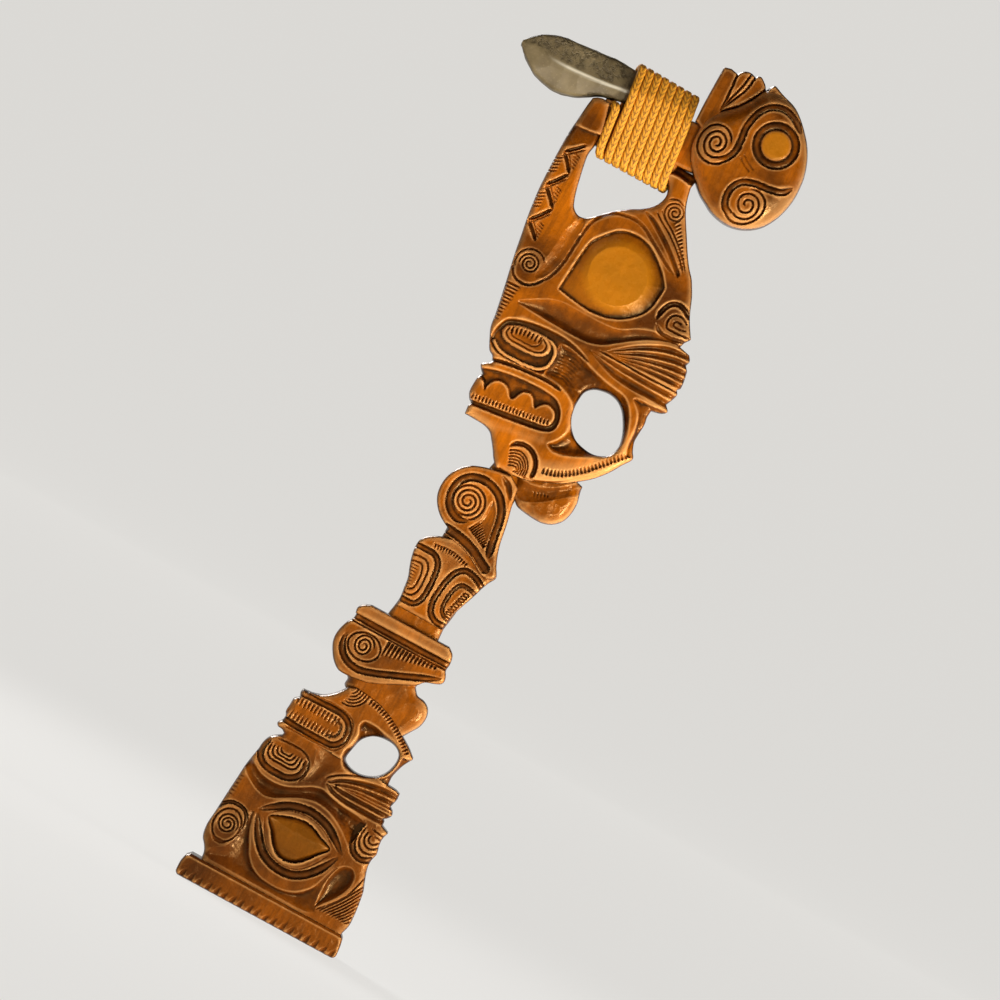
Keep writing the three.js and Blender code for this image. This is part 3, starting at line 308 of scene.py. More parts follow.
# Carving
class Mass:
    """One mass of the haft: an outline, a half depth, and a face that gouges lower.

    half is one number, or the half depths at the foot and the head of the outline. The face rounds
    over towards its outline within edge, and drops by swell there. split holds the heights at which
    the mass is cut into pieces.
    """

    def __init__(self, name, outline, half, edge=4.0, swell=None, holes=(), split=()):
        self.name = name
        self.split = split
        self.loops = [np.array(loop, float) for loop in (outline, *holes)]
        self.low = self.loops[0].min(0)
        high = self.loops[0].max(0)
        self.columns, self.rows = (int(ceil(v / GRAIN)) for v in high - self.low)
        x = self.low[0] + GRAIN * np.arange(self.columns + 1)
        z = self.low[1] + GRAIN * np.arange(self.rows + 1)
        self.shape = (self.rows + 1, self.columns + 1)
        self.x, self.z = (v.ravel().copy() for v in np.meshgrid(x, z))
        inside = within(self.loops[0], self.x, self.z)
        for hole in self.loops[1:]:
            inside &= ~within(hole, self.x, self.z)
        away = np.full(len(self.x), np.inf)
        foot = np.zeros((len(self.x), 2))
        for loop in self.loops:
            gap, _, place, _ = nearest(loop, self.x, self.z, closed=True)
            closer = gap < away
            away[closer] = gap[closer]
            foot[closer] = place[closer]
        signed = np.where(inside, away, -away)
        self.kept = signed > -0.35 * GRAIN
        grown = np.pad(self.kept.reshape(self.shape), 1)
        full = np.ones(self.shape, bool)
        for i in range(3):
            for j in range(3):
                full &= grown[i:i + self.shape[0], j:j + self.shape[1]]
        self.rim = self.kept & ~full.ravel()
        self.x[self.rim] = foot[self.rim, 0]
        self.z[self.rim] = foot[self.rim, 1]
        away = np.where(self.rim, 0, np.maximum(signed, 0))
        share = np.clip((self.z - self.low[1]) / (high[1] - self.low[1]), 0, 1)
        low_half, high_half = half if isinstance(half, tuple) else (half, half)
        depth = low_half + (high_half - low_half) * share
        swell = edge if swell is None else swell
        inset = np.clip(1 - away / edge, 0, 1)
        self.land = depth - swell + swell * np.sqrt(1 - inset ** 2)
        self.face = self.land.copy()
        self.polish = np.zeros(len(self.x))
        self.stain = np.zeros(len(self.x))
        # Painted sheen: pale strokes that stand in for highlights
        self.painted_sheen = np.zeros(len(self.x))

    def near(self, curve, reach):
        """The kept places in the box round a curve, grown by reach."""
        low = curve.min(0) - reach
        high = curve.max(0) + reach
        return np.flatnonzero(self.kept & (self.x > low[0]) & (self.x < high[0])
                              & (self.z > low[1]) & (self.z < high[1]))

    def lower(self, near, cut, from_face=False):
        """Cuts these places down, from the uncarved land or from the face as it is."""
        if from_face:
            self.face[near] -= cut
        else:
            self.face[near] = np.minimum(self.face[near], self.land[near] - cut)

    def gouge(self, points, width, depth, ends=(0, 0), closed=False, from_face=False, sharp=0.5,
              reed=0.0, butt=False):
        """A trough along a smooth curve, which thins out over the lengths in ends.

        reed is how much of its depth a rounded reed along the middle of the floor stands up. A butt
        end is cut off square.
        """
        curve = smooth(points, closed) if len(points) > 2 else np.array(points, float)
        near = self.near(curve, width / 2)
        if not len(near):
            return
        away, along, _, length = nearest(curve, self.x[near], self.z[near], closed)
        size = np.ones(len(near))
        if ends[0]:
            size *= np.sqrt(np.clip(along / ends[0], 0, 1))
        if ends[1]:
            size *= np.sqrt(np.clip((length - along) / ends[1], 0, 1))
        stand = np.full(len(near), reed)
        if butt:
            size[along > length - 0.01] = 0
            stand += (1 - reed) * np.clip(1 - (length - along) / REED_RISE, 0, 1)
        across = away / (width / 2 * np.maximum(size, THINNEST_CUT))
        trough = np.clip(1 - across ** 2, 0, 1) ** sharp
        ridge = np.sqrt(np.clip(1 - (across / REED_WIDTH) ** 2, 0, 1))
        self.lower(near, depth * size * (trough - stand * ridge), from_face)
        if reed:
            oiled = STAIN * size * np.clip(5 - 5 * across, 0, 1) * (1 - stand) / (1 - reed)
            self.stain[near] = np.maximum(self.stain[near], oiled)

    def channel(self, points, width, depth, ends=(0, 0), closed=False, butt=False):
        """A steep-sided groove with a low reed along its floor, dark down both edges."""
        self.gouge(points, width, depth, ends, closed, sharp=0.3, reed=0.55, butt=butt)

    def paint_sheen(self, points, reach, share):
        """A painted sheen: a pale stretch along a line, which stands in for a highlight."""
        curve = smooth(points)
        near = self.near(curve, 2 * reach)
        away = nearest(curve, self.x[near], self.z[near])[0]
        self.painted_sheen[near] = np.maximum(self.painted_sheen[near], share * np.exp(-(away / reach) ** 2))

    def gouges(self, curves, width, depth, **more):
        for points in curves:
            self.gouge(points, width, depth, **more)

    def inside(self, outline):
        """The kept places inside an outline, and how far each is from it."""
        curve = np.array(outline, float)
        near = self.near(curve, 0.0)
        near = near[within(curve, self.x[near], self.z[near])]
        away, _, _, _ = nearest(curve, self.x[near], self.z[near], closed=True)
        return near, away

    def sink(self, outline, depth, slope, from_face=False):
        """A field sunk to an even depth, with a crisp edge and walls that level out over slope."""
        near, away = self.inside(outline)
        share = np.clip(away / slope, 0, 1)
        self.lower(near, depth * share * (2 - share), from_face)
        self.stain[near] = np.maximum(self.stain[near], 0.36 * STAIN * share)
        return near, away

    def scoop(self, first, second, depth, steep=0.5, full=6.0, from_face=False):
        """A hollow between two edges, deepest at the share steep of the way from the first one."""
        first, second = smooth(first), smooth(second)
        near, _ = self.inside(join(first, second[::-1]))
        if not len(near):
            return
        a, b = (nearest(edge, self.x[near], self.z[near])[0] for edge in (first, second))
        gap = np.maximum(a + b, 1e-6)
        share = a / gap
        low = np.where(share < steep, 1 - (1 - share / steep) ** 2, 1 - ((share - steep) / (1 - steep)) ** 2)
        self.lower(near, depth * low * np.clip(gap / full, 0, 1), from_face)

    def flutes(self, crests, depth, full=4.0):
        """Hollows side by side, with a sharp crest left between each two."""
        for first, second in zip(crests[:-1], crests[1:]):
            self.scoop(first, second, depth, full=full)

    def pillow(self, outline, drop, rise, reach, power=1.0, polish=0.7):
        """A swelling inside an outline, from drop below the land at its rim up by rise at reach."""
        near, away = self.inside(outline)
        lift = np.clip(away / reach, 0, 1)
        lift = 1 - (1 - lift) ** power if power > 1 else lift
        self.face[near] = self.land[near] - drop + rise * lift
        self.polish[near] = np.maximum(self.polish[near], polish * np.clip(away / 1.5, 0, 1))

    def raise_band(self, points, width, drop=0.0, closed=False, round_off=0.6):
        """A band left standing to drop below the land."""
        curve = smooth(points, closed)
        near = self.near(curve, width / 2)
        away, _, _, _ = nearest(curve, self.x[near], self.z[near], closed)
        fall = np.clip((away - width / 2 + round_off) / round_off, 0, 1) ** 2
        top = self.land[near] - drop - 6 * fall
        self.face[near] = np.maximum(self.face[near], top)

    def nicks(self, points, count, length, width, depth, lean=90.0, from_face=False, tip=0.8):
        """A row of short cuts across a line. lean is their angle to it, in degrees.

        length is one number, or the lengths of the first and the last cut, which thin out over tip of it.
        """
        curve = smooth(points) if len(points) > 2 else np.array(points, float)
        run = np.concatenate([[0], np.cumsum(np.linalg.norm(np.diff(curve, axis=0), axis=1))])
        for k in range(count):
            share = k / max(count - 1, 1)
            at, ahead, behind = (np.array([np.interp(share * run[-1] + step, run, line) for line in curve.T])
                                 for step in (0.0, 0.5, -0.5))
            course = (ahead - behind) / max(np.linalg.norm(ahead - behind), 1e-6)
            turn = radians(lean)
            out = np.array([course[0] * cos(turn) - course[1] * sin(turn),
                            course[0] * sin(turn) + course[1] * cos(turn)])
            reach = length[0] + (length[1] - length[0]) * share if isinstance(length, tuple) else length
            self.gouge([at, at + out * reach], width, depth, ends=(0, reach * tip), from_face=from_face)

    def pecks(self, outline, size, depth, seed):
        """Small scoops of a gouge all over a field, or over the whole face if there is no outline."""
        if outline is None:
            near = np.flatnonzero(self.kept)
            fade = np.ones(len(near))
        else:
            near, away = self.inside(outline)
            fade = ease(away / 2.5)
        random = np.random.default_rng(seed)
        at = np.stack([self.x[near], self.z[near]], 1) / size
        cells = np.floor(at).astype(int)
        low = cells.min(0) - 1
        spread = cells.max(0) - low + 2
        jitter = random.random((spread[0], spread[1], 2))
        best = np.full(len(near), np.inf)
        for i in (-1, 0, 1):
            for j in (-1, 0, 1):
                c = cells + (i, j)
                centre = c + jitter[c[:, 0] - low[0], c[:, 1] - low[1]]
                best = np.minimum(best, ((at - centre) ** 2).sum(1))
        self.face[near] -= depth * fade * np.clip(1 - best, 0, 1)

    def make(self, material):
        """Builds the mesh: the face, its walls and the other side.

        It keeps for the wood how dark each place is with stain and painted shade, how pale with wear and
        painted highlight, and how polished.
        """
        face = self.face.reshape(self.shape)
        land = self.land.reshape(self.shape)
        wide = hollow(face, 6.0, 2.2)
        narrow = hollow(face, 1.8, 0.95)
        polish = self.polish.reshape(self.shape)
        depth = ease((land - face - 0.3) / 3.0) * (1 - polish)
        dark = OIL_BY_DEPTH * depth
        # Painted shade, mixed with stain: darker in narrow and wide hollows, where shade falls
        dark += OIL_AND_SHADE_IN_CORNERS * np.clip(narrow, 0, 1)
        dark += OIL_AND_SHADE_IN_HOLLOWS * np.clip(wide, 0, 1)
        crest = np.clip(-2.5 * narrow, 0, 0.7)
        dark = np.clip(dark + self.stain.reshape(self.shape) * (1 - crest), 0, 1)
        # Paler on crests and swellings, partly wear and partly painted highlight, plus the painted sheen
        # strokes
        wear_and_sheen = -WEAR_AND_SHEEN_ON_EDGES * narrow - WEAR_AND_SHEEN_ON_SWELLS * wide - WEAR_AND_SHEEN_FROM + self.painted_sheen.reshape(self.shape)
        whole = grid(f"{self.name}_whole", self.columns, self.rows)
        set_places(whole, np.stack([self.x, -self.face, self.z], 1) * MM)
        note(whole, "cut", dark)
        note(whole, "wear_and_sheen", np.clip(wear_and_sheen, 0, 1))
        note(whole, "polish", self.polish)
        row = np.repeat(np.arange(self.rows + 1), self.columns + 1)
        cuts = [int(round((height - self.low[1]) / GRAIN)) for height in sorted(self.split)]
        for k, (first, last) in enumerate(zip([0, *cuts], [*cuts, self.rows])):
            obj = whole.copy()
            obj.data = whole.data.copy()
            obj.name = f"{self.name}_{k + 1}" if cuts else self.name
            bpy.context.collection.objects.link(obj)
            self.wall(obj, ~self.kept | (row < first) | (row > last))
            mirror_over(obj)
            finish_piece(obj, material, "carved_wood", "haft")
        bpy.data.objects.remove(whole)

    @staticmethod
    def wall(obj, outside):
        """Cuts away what lies outside, and draws the rim down to the middle plane in steps."""
        choose(obj, outside)
        take(obj)
        bpy.ops.object.mode_set(mode="EDIT")
        bpy.ops.mesh.select_mode(type="VERT")
        bpy.ops.mesh.delete(type="VERT")
        bpy.ops.mesh.select_all(action="SELECT")
        bpy.ops.mesh.delete_loose()
        bpy.ops.mesh.select_all(action="DESELECT")
        bpy.ops.mesh.select_non_manifold()
        rim = None
        for share in WALL_STEPS:
            bpy.ops.mesh.extrude_edges_move()
            bpy.ops.object.mode_set(mode="OBJECT")
            chosen = chosen_vertices(obj)
            co = places(obj)
            if rim is None:
                rim = co[chosen, 1].copy()
            co[chosen, 1] = rim * share
            set_places(obj, co)
            bpy.ops.object.mode_set(mode="EDIT")
        bpy.ops.object.mode_set(mode="OBJECT")


# Materials
def linear(colour):
    """A six-digit sRGB hex colour as linear RGBA."""
    parts = [int(colour[i:i + 2], 16) / 255 for i in (0, 2, 4)]
    return (*(v / 12.92 if v <= 0.04045 else ((v + 0.055) / 1.055) ** 2.4 for v in parts), 1)


def add(tree, kind, inputs=None, **settings):
    """Adds a node. inputs hold values or the sockets they come from."""
    node = tree.nodes.new("ShaderNode" + kind)
    for name, value in settings.items():
        setattr(node, name, value)
    for name, value in (inputs or {}).items():
        if isinstance(value, bpy.types.NodeSocket):
            tree.links.new(value, node.inputs[name])
        else:
            node.inputs[name].default_value = value
    return node


def ramp(tree, value, low, high):
    """A run between two colours, each given as its place and its hex colour."""
    node = add(tree, "ValToRGB", {"Fac": value})
    for element, (place, colour) in zip(node.color_ramp.elements, (low, high)):
        element.position = place
        element.color = linear(colour)
    return node.outputs["Color"]


def remap(tree, value, start, stop, low=0.0, high=1.0):
    """Takes what lies between low and high to start and stop, and holds it there outside."""
    return add(tree, "MapRange", {"Value": value, "From Min": low, "From Max": high, "To Min": start,
                                  "To Max": stop}).outputs["Result"]


def blend(tree, share, first, second):
    """Lays the second colour over the first one by a share."""
    return add(tree, "Mix", {"Factor": share, "A": first, "B": second}, data_type="RGBA").outputs["Result"]


def maths(tree, operation, first, second, **settings):
    return add(tree, "Math", {0: first, 1: second}, operation=operation, **settings).outputs["Value"]


def noise(tree, where, scale, detail, rough=0.5):
    """Soft noise. scale is how many of its patches fit in a metre, about."""
    return add(tree, "TexNoise", {"Vector": where, "Scale": scale, "Detail": detail,
                                  "Roughness": rough}).outputs["Fac"]


def bump(tree, height, strength, distance, under=None, invert=False):
    """Relief too fine for the mesh. under is the relief that it lies on."""
    inputs = {"Height": height, "Strength": strength, "Distance": distance}
    if under is not None:
        inputs["Normal"] = under
    return add(tree, "Bump", inputs, invert=invert).outputs["Normal"]


def kept(tree, name):
    """A number that the mesh keeps for each vertex."""
    return add(tree, "Attribute", attribute_name=name).outputs["Fac"]


def surface(name):
    """An empty material with its shader, object coordinates and output."""
    material = bpy.data.materials.new(name)
    material.use_nodes = True
    tree = material.node_tree
    tree.nodes.clear()
    shader = add(tree, "BsdfPrincipled")
    add(tree, "OutputMaterial", {"Surface": shader.outputs["BSDF"]})
    where = add(tree, "TexCoord").outputs["Object"]
    return material, tree, shader, where


def carved_hardwood():
    """Oiled hardwood: polished amber lands, edges paled by wear and painted highlight, and cuts darkened by
    old stain and by painted shade in their hollows.
    """
    material, tree, shader, where = surface("oiled_hardwood")
    # Amber and brown clouds, which sink to a duller brown near the foot
    cloud = noise(tree, where, 16.0, 4.0, 0.6)
    shade = ramp(tree, cloud, (0.37, "4A1F02"), (0.66, "BE6204"))
    height = add(tree, "SeparateXYZ", {"Vector": where}).outputs["Z"]
    shade = blend(tree, remap(tree, height, 0.5, 0.0, 0.02, 0.34), shade, linear("54290F"))
    # Grain that runs up the haft
    along = add(tree, "Mapping", {"Vector": where, "Scale": (1.0, 1.0, 0.06)}).outputs["Vector"]
    figure = noise(tree, along, 420.0, 4.0, 0.65)
    shade = blend(tree, remap(tree, figure, 0.0, 0.5, 0.45, 0.72), shade, linear("3E1C04"))
    # Crests and swellings made pale by wear and painted highlight, with the painted sheen strokes, and
    # polished swellings
    shade = blend(tree, remap(tree, kept(tree, "wear_and_sheen"), 0.0, 0.7, 0.1, 1.0), shade, linear("E8A45C"))
    shade = blend(tree, maths(tree, "MULTIPLY", kept(tree, "polish"), 0.6), shade, linear("C87A12"))
    # Dark stain in the cuts, with painted shade in narrow and wide hollows, in uneven patches
    patchy = noise(tree, where, 160.0, 2.0)
    uneven = remap(tree, patchy, 0.6, 1.3, 0.3, 0.7)
    dark = maths(tree, "MULTIPLY", kept(tree, "cut"), uneven, use_clamp=True)
    oil_and_shade_colour = ramp(tree, dark, (0.15, "4E2406"), (0.9, "1A0902"))
    colour = blend(tree, remap(tree, dark, 0.0, 0.92, 0.0, 0.6), shade, oil_and_shade_colour)
    tree.links.new(colour, shader.inputs["Base Color"])
    # The warm lights of an oiled skin, with fine tool marks
    shader.inputs["IOR"].default_value = 1.45
    shader.inputs["Specular IOR Level"].default_value = 0.5
    shader.inputs["Specular Tint"].default_value = linear("FFC47A")
    tree.links.new(remap(tree, patchy, 0.18, 0.36), shader.inputs["Roughness"])
    marks = noise(tree, where, 230.0, 3.0, 0.55)
    fine = bump(tree, figure, 0.15, 0.0006)
    tree.links.new(bump(tree, marks, 0.28, 0.0016, fine), shader.inputs["Normal"])
    return material


def ground_basalt():
    """Basalt ground on wet stone: dull olive grey with paler flecks and dark pits, and a painted highlight
    along its ridge, which is also glossier.
    """
    material, tree, shader, where = surface("ground_basalt")
    cloud = noise(tree, where, 38.0, 5.0, 0.6)
    shade = ramp(tree, cloud, (0.35, "5C4C2E"), (0.7, "8A7650"))
    fleck = add(tree, "TexVoronoi", {"Vector": where, "Scale": 520.0}).outputs["Distance"]
    shade = blend(tree, remap(tree, fleck, 0.5, 0.0, 0.0, 0.35), shade, linear("97835E"))
    holes = remap(tree, noise(tree, where, 240.0, 5.0, 0.75), 0.0, 0.6, 0.48, 0.62)
    pits = maths(tree, "MULTIPLY", holes, kept(tree, "pitted"))
    shade = blend(tree, pits, shade, linear("3A2F1A"))
    # A painted highlight along the widest line, pale and less rough
    ridge = kept(tree, "ridge")
    tree.links.new(blend(tree, ridge, shade, linear("E6D9BC")), shader.inputs["Base Color"])
    tree.links.new(remap(tree, ridge, 0.55, 0.25), shader.inputs["Roughness"])
    shader.inputs["Specular IOR Level"].default_value = 0.35
    fine = bump(tree, noise(tree, where, 420.0, 4.0, 0.7), 0.2, 0.0008)
    tree.links.new(bump(tree, pits, 0.6, 0.0012, fine, invert=True), shader.inputs["Normal"])
    return material


def sennit():
    """Twisted plant-fibre cord: orange, matt, with painted shade in the hollows between the strands."""
    material, tree, shader, where = surface("plant_fibre_cord")
    fibre = noise(tree, where, 700.0, 3.0)
    # Painted shade: the strand values darken the hollows between the strands
    shade = ramp(tree, kept(tree, "strand"), (0.3, "642801"), (0.92, "FFB026"))
    colour = blend(tree, remap(tree, fibre, 0.0, 0.45), shade, linear("DC860E"))
    tree.links.new(colour, shader.inputs["Base Color"])
    shader.inputs["Roughness"].default_value = 0.7
    tree.links.new(bump(tree, fibre, 0.4, 0.0005), shader.inputs["Normal"])
    return material


# Masses of the haft, from the foot up
def foot_mass():
    half = 56.5
    outline = join(arc(-half + 3, 3, 3, 180, 270), arc(half - 3, 3, 3, 270, 360),
                   smooth([(half, 3), (half - 0.6, 9), (half - 1.5, 13)]),
                   smooth([(half - 3.5, 15.5), (-half + 3.5, 15.5)]),
                   smooth([(-half + 1, 13), (-half, 9), (-half, 3)]))
    foot = Mass("foot", outline, FOOT_HALF, edge=2.0)
    random = np.random.default_rng(53)
    notches = 19
    pitch = 5.8
    for k in range(notches):
        x = -half + 5 + k * pitch + random.uniform(-0.5, 0.5)
        high = random.uniform(4.6, 6.6)
        foot.gouge([(x - 0.6, -1.5), (x + 0.2, high * 0.45), (x + 1.4, high)], 3.6, 1.4, ends=(0, high))
    foot.gouge([(-60, 14.8), (60, 14.8)], 2.2, 1.6)
    foot.pecks(None, 7.0, 0.3, 59)
    return foot


def lower_head_mass():
    outline = join(
        smooth([(-46, 13.5), (-46.5, 20), (-48.5, 24), (-51.5, 28), (-53, 35), (-52.3, 45), (-51.5, 55),
                (-51, 62), (-50.3, 70), (-49.5, 80), (-48.5, 86), (-47.3, 92), (-46.8, 97), (-45.4, 101),
                (-42.7, 104), (-38.5, 106.6)]),
        smooth([(-38, 108.5), (-40, 110), (-43.4, 110.5), (-44.6, 112.4), (-42.8, 115), (-42.2, 118.5),
                (-43.4, 121), (-43.2, 126), (-43, 130.4)]),
        smooth([(-40, 132.8), (-41, 136), (-40.6, 138)]),
        smooth([(-35, 138.5), (-28, 140.6), (-22, 145.2), (-18.4, 149.6), (-16, 153)]),
        smooth([(-10, 154.8), (0, 153.5), (10.4, 151), (20, 146.4), (28, 141.4), (35, 136.8), (40.4, 132.2)]),
        smooth([(38.4, 129), (36.6, 125.4), (35, 120.6), (34, 116), (34.4, 110.6)]),
        smooth([(40, 110.2), (43.3, 109)]),
        smooth([(43.6, 106), (43, 103), (42, 99.4)]),
        smooth([(44.4, 97.6), (45.5, 95.4), (44, 92.6), (41.6, 91)]),
        smooth([(43.2, 89.4), (43.2, 86.8)]),
        smooth([(48.5, 84.4), (47.2, 80), (47.4, 75), (48.6, 69.5), (47.5, 65), (47.5, 60), (50.5, 50),
                (52.4, 45), (53.6, 38), (54.5, 30), (54.6, 22), (53, 16), (53, 13.5)]))
    hole = smooth([(3.5, 112), (7.5, 109), (14, 107.8), (20, 109), (25.4, 111.8), (29.4, 116.4),
                   (31.2, 121), (31.9, 126), (30.8, 130.8), (27, 133.8), (20, 134.8), (12, 133), (6.6, 128),
                   (4.2, 120)], True)
    m = Mass("lower_head", outline, LOWER_HEAD_HALF, edge=4.0, holes=[hole], split=[82])
    lower_eye(m)
    lower_nose_and_brow(m)
    lower_mouth_and_arm(m)
    m.pecks(None, 6.0, 0.16, 8)
    return m


def lower_eye(m):
    """The almond eye between two channels, with the spiral, scoop and hatched crescent beside it."""
    m.scoop([(-30.8, 57), (-28, 46), (-24, 38), (-20, 31), (-15, 26), (-8, 22.8), (0, 22), (8, 22.5),
             (15, 25), (20, 29), (24, 34), (27, 42), (30, 51)],
            [(-33, 57), (-33.6, 44), (-36, 31), (-44, 24), (-46, 19), (-30, 17.6), (0, 17.2), (26, 17.4),
             (31.4, 20), (29.4, 30), (29.6, 40), (32, 51)], 3.4, steep=0.3, full=9)
    m.channel([(-29.5, 59.4), (-22, 65), (-12.5, 70.8), (0, 73.4), (12.5, 70.8), (22, 65), (29.5, 59)],
              5.4, 2.9, ends=(14, 14))
    m.channel([(-29, 57.4), (-24.6, 50), (-19, 42), (-13, 36.4), (-6, 33.4), (1, 32.6), (8, 33.4),
               (15.4, 37.6), (22, 45), (28.6, 57)], 5.6, 3.0, ends=(14, 14))
    lids = smooth([(-21.6, 58.8), (-12, 64), (-5, 66), (0, 66.6), (6, 65.8), (12, 63), (21.6, 58.4),
                   (16.6, 51.6), (12, 45.6), (7, 41), (0, 39), (-6, 40), (-11, 44), (-16.4, 51.4)], True)
    near, away = m.inside(lids)
    fold = np.abs(m.z[near] - 56.8 - 0.004 * m.x[near] ** 2)
    m.face[near] = (m.land[near] - 2.0 + 2.2 * np.clip(away / 3, 0, 1) ** 0.7 - 0.24 * np.minimum(fold, 12)
                    + 0.4 * np.exp(-(fold / 0.7) ** 2))
    m.polish[near] = 0.35
    m.gouge([(-24, 60), (-12, 67.6), (0, 70), (12, 67.4), (24, 59.6)], 0.9, 0.7, ends=(6, 6))
    m.gouge([(-24, 57), (-18, 46.6), (-11, 39.4), (0, 36), (9, 37.8), (16, 44), (24, 57.6)], 0.9, 0.7,
            ends=(6, 6))
    # Scoop and hatched crescent on the right
    scoop = smooth([(29.4, 45), (31.6, 50.6), (35, 54), (39.6, 54.6), (43, 51.6), (44, 45.6), (42, 38.6),
                    (38, 32), (33.6, 26.4), (29.6, 21.6), (29, 30), (28.4, 38)], True)
    m.sink(scoop, 4.2, 6.0)
    m.gouge([(49.4, 54.6), (47.4, 47), (44.4, 38), (38.4, 29.4), (31, 21.4)], 1.2, 1.4, ends=(3, 3))
    for k in range(9):
        high = 51.6 - 3.3 * k
        low = 33.4 + 2.1 * k
        m.gouge([(53 + 0.12 * k, high), (0.45 * 53 + 0.55 * low + 1.2, 0.45 * high + 0.55 * 22), (low, 22)],
                1.2, 1.5, ends=(1, 3))
    # Left spiral in its raised oval, under a hood
    m.gouge(spiral(-42, 42.4, 1.0, 6.8, 200, -2.6), 1.3, 1.6, ends=(2, 4))
    m.gouge(oval(-42, 41.6, 8.6, 10.6), 1.3, 1.6, closed=True)
    m.gouge([(-46.6, 31.6), (-42, 30.6), (-37.4, 31.6)], 3.0, 1.4, ends=(3, 3))
    m.channel([(-54, 46), (-50.6, 52), (-46, 55.6), (-40, 56), (-34.8, 53.4), (-32, 47), (-31.6, 38)],
              2.6, 2.6, ends=(3, 8))


def lower_nose_and_brow(m):
    """Cheek hollow, ear curl, nested nose and the leaf of ribs."""
    m.scoop([(-50, 88), (-44, 83), (-38, 80), (-28, 79), (-20, 80.6), (-13, 84), (-6, 88), (0, 89.4),
             (6, 88), (14, 86.4), (26, 85.4), (34, 84)],
            [(-50, 78), (-42, 72.6), (-36, 69.6), (-30, 68.4), (-24, 70), (-15, 75), (-8, 78.2), (0, 80),
             (8, 79.2), (16, 76), (24, 71), (31, 65.6)], 4.2, steep=0.45, full=10)
    ground = smooth([(12, 84), (26, 83), (31, 78), (30, 70), (24, 73), (16, 77.6)], True)
    m.pecks(ground, 2.6, 0.7, 3)
    m.channel([(31.6, 85), (30.6, 77), (31.8, 69), (36, 63.6), (42, 62.4), (49, 66)], 4.2, 2.6, ends=(8, 2))
    m.gouge([(35, 82), (34.2, 76), (35.4, 70.6), (39, 67.4), (44, 67.4), (48.6, 70.4)], 1.5, 1.8, ends=(3, 2))
    m.gouge([(37.6, 80), (36.8, 76), (38, 72.6), (41, 70.6), (44.8, 71.2), (48, 74)], 1.4, 1.7, ends=(2, 1))
    m.gouge([(40, 78.6), (39.4, 75.8), (41.2, 73.8), (44, 74), (46.6, 76.6)], 1.3, 1.5, ends=(1, 1))
    m.gouges([[(38, 82.6), (43, 81.6), (49, 81)], [(41.6, 79), (45, 78.6), (49, 78)]], 1.2, 1.3, ends=(2, 0))
    for k in range(6):
        m.gouge([(-52, 60 + 2.6 * k), (-46.6, 60 + 2.6 * k)], 1.0, 0.8, ends=(0, 3))
    # Leaf: hollow flutes nested from its tip
    m.flutes([[(-0.4, 94.8), (5, 99.6), (14, 104), (26, 107.6), (48, 110.2)],
              [(2.6, 94.8), (9, 98.4), (20, 101.4), (34, 103.4), (48, 104)],
              [(8.4, 95.8), (18, 98.2), (28, 99.2), (48, 99.8)],
              [(11, 95.5), (22, 96.8), (34, 97.2), (48, 97.4)],
              [(8.4, 95), (18, 95), (30, 95.2), (48, 95.2)],
              [(2.6, 94), (8, 92), (18, 91.2), (32, 91.2), (48, 91.6)],
              [(-0.4, 93.6), (4, 90), (12, 87.8), (26, 86.8), (48, 86.8)]], 2.6, full=3.8)
    m.gouge([(-2, 96.4), (4, 101.4), (12, 105.6), (22, 109.2)], 1.4, 1.6, ends=(3, 4))
    # Nose: nested squared bowls in an oval channel
    m.channel([(-44, 102), (-45.6, 95), (-44, 89), (-39.4, 85.6), (-31, 84.4), (-23, 85.2), (-18, 88.6),
               (-16, 94.6), (-17.4, 100.6)], 4.4, 2.6, ends=(2, 3))
    m.gouge([(-40, 104), (-30, 104.6), (-21, 103.8), (-15.6, 100), (-13.8, 93), (-15.6, 86)], 1.3, 1.4,
            ends=(3, 3))
    for low, wide in ((90.6, 10.6), (92.9, 8.4), (95.2, 6.2), (97.3, 4.2)):
        m.gouge([(-31 - wide, 100.6), (-31 - 0.95 * wide, low + 2.6), (-31 - 0.7 * wide, low + 0.4),
                 (-31, low), (-31 + 0.7 * wide, low + 0.2), (-31 + 0.95 * wide, low + 2.4),
                 (-31 + wide, 100.4)], 1.3, 1.8, ends=(3, 3))
    m.scoop([(-14.6, 88), (-12.4, 94), (-12.6, 102), (-15, 108), (-18, 112)],
            [(-8, 90), (-3.6, 96.4), (1.6, 103), (5, 107.6), (6, 111)], 1.8, steep=0.5, full=14)


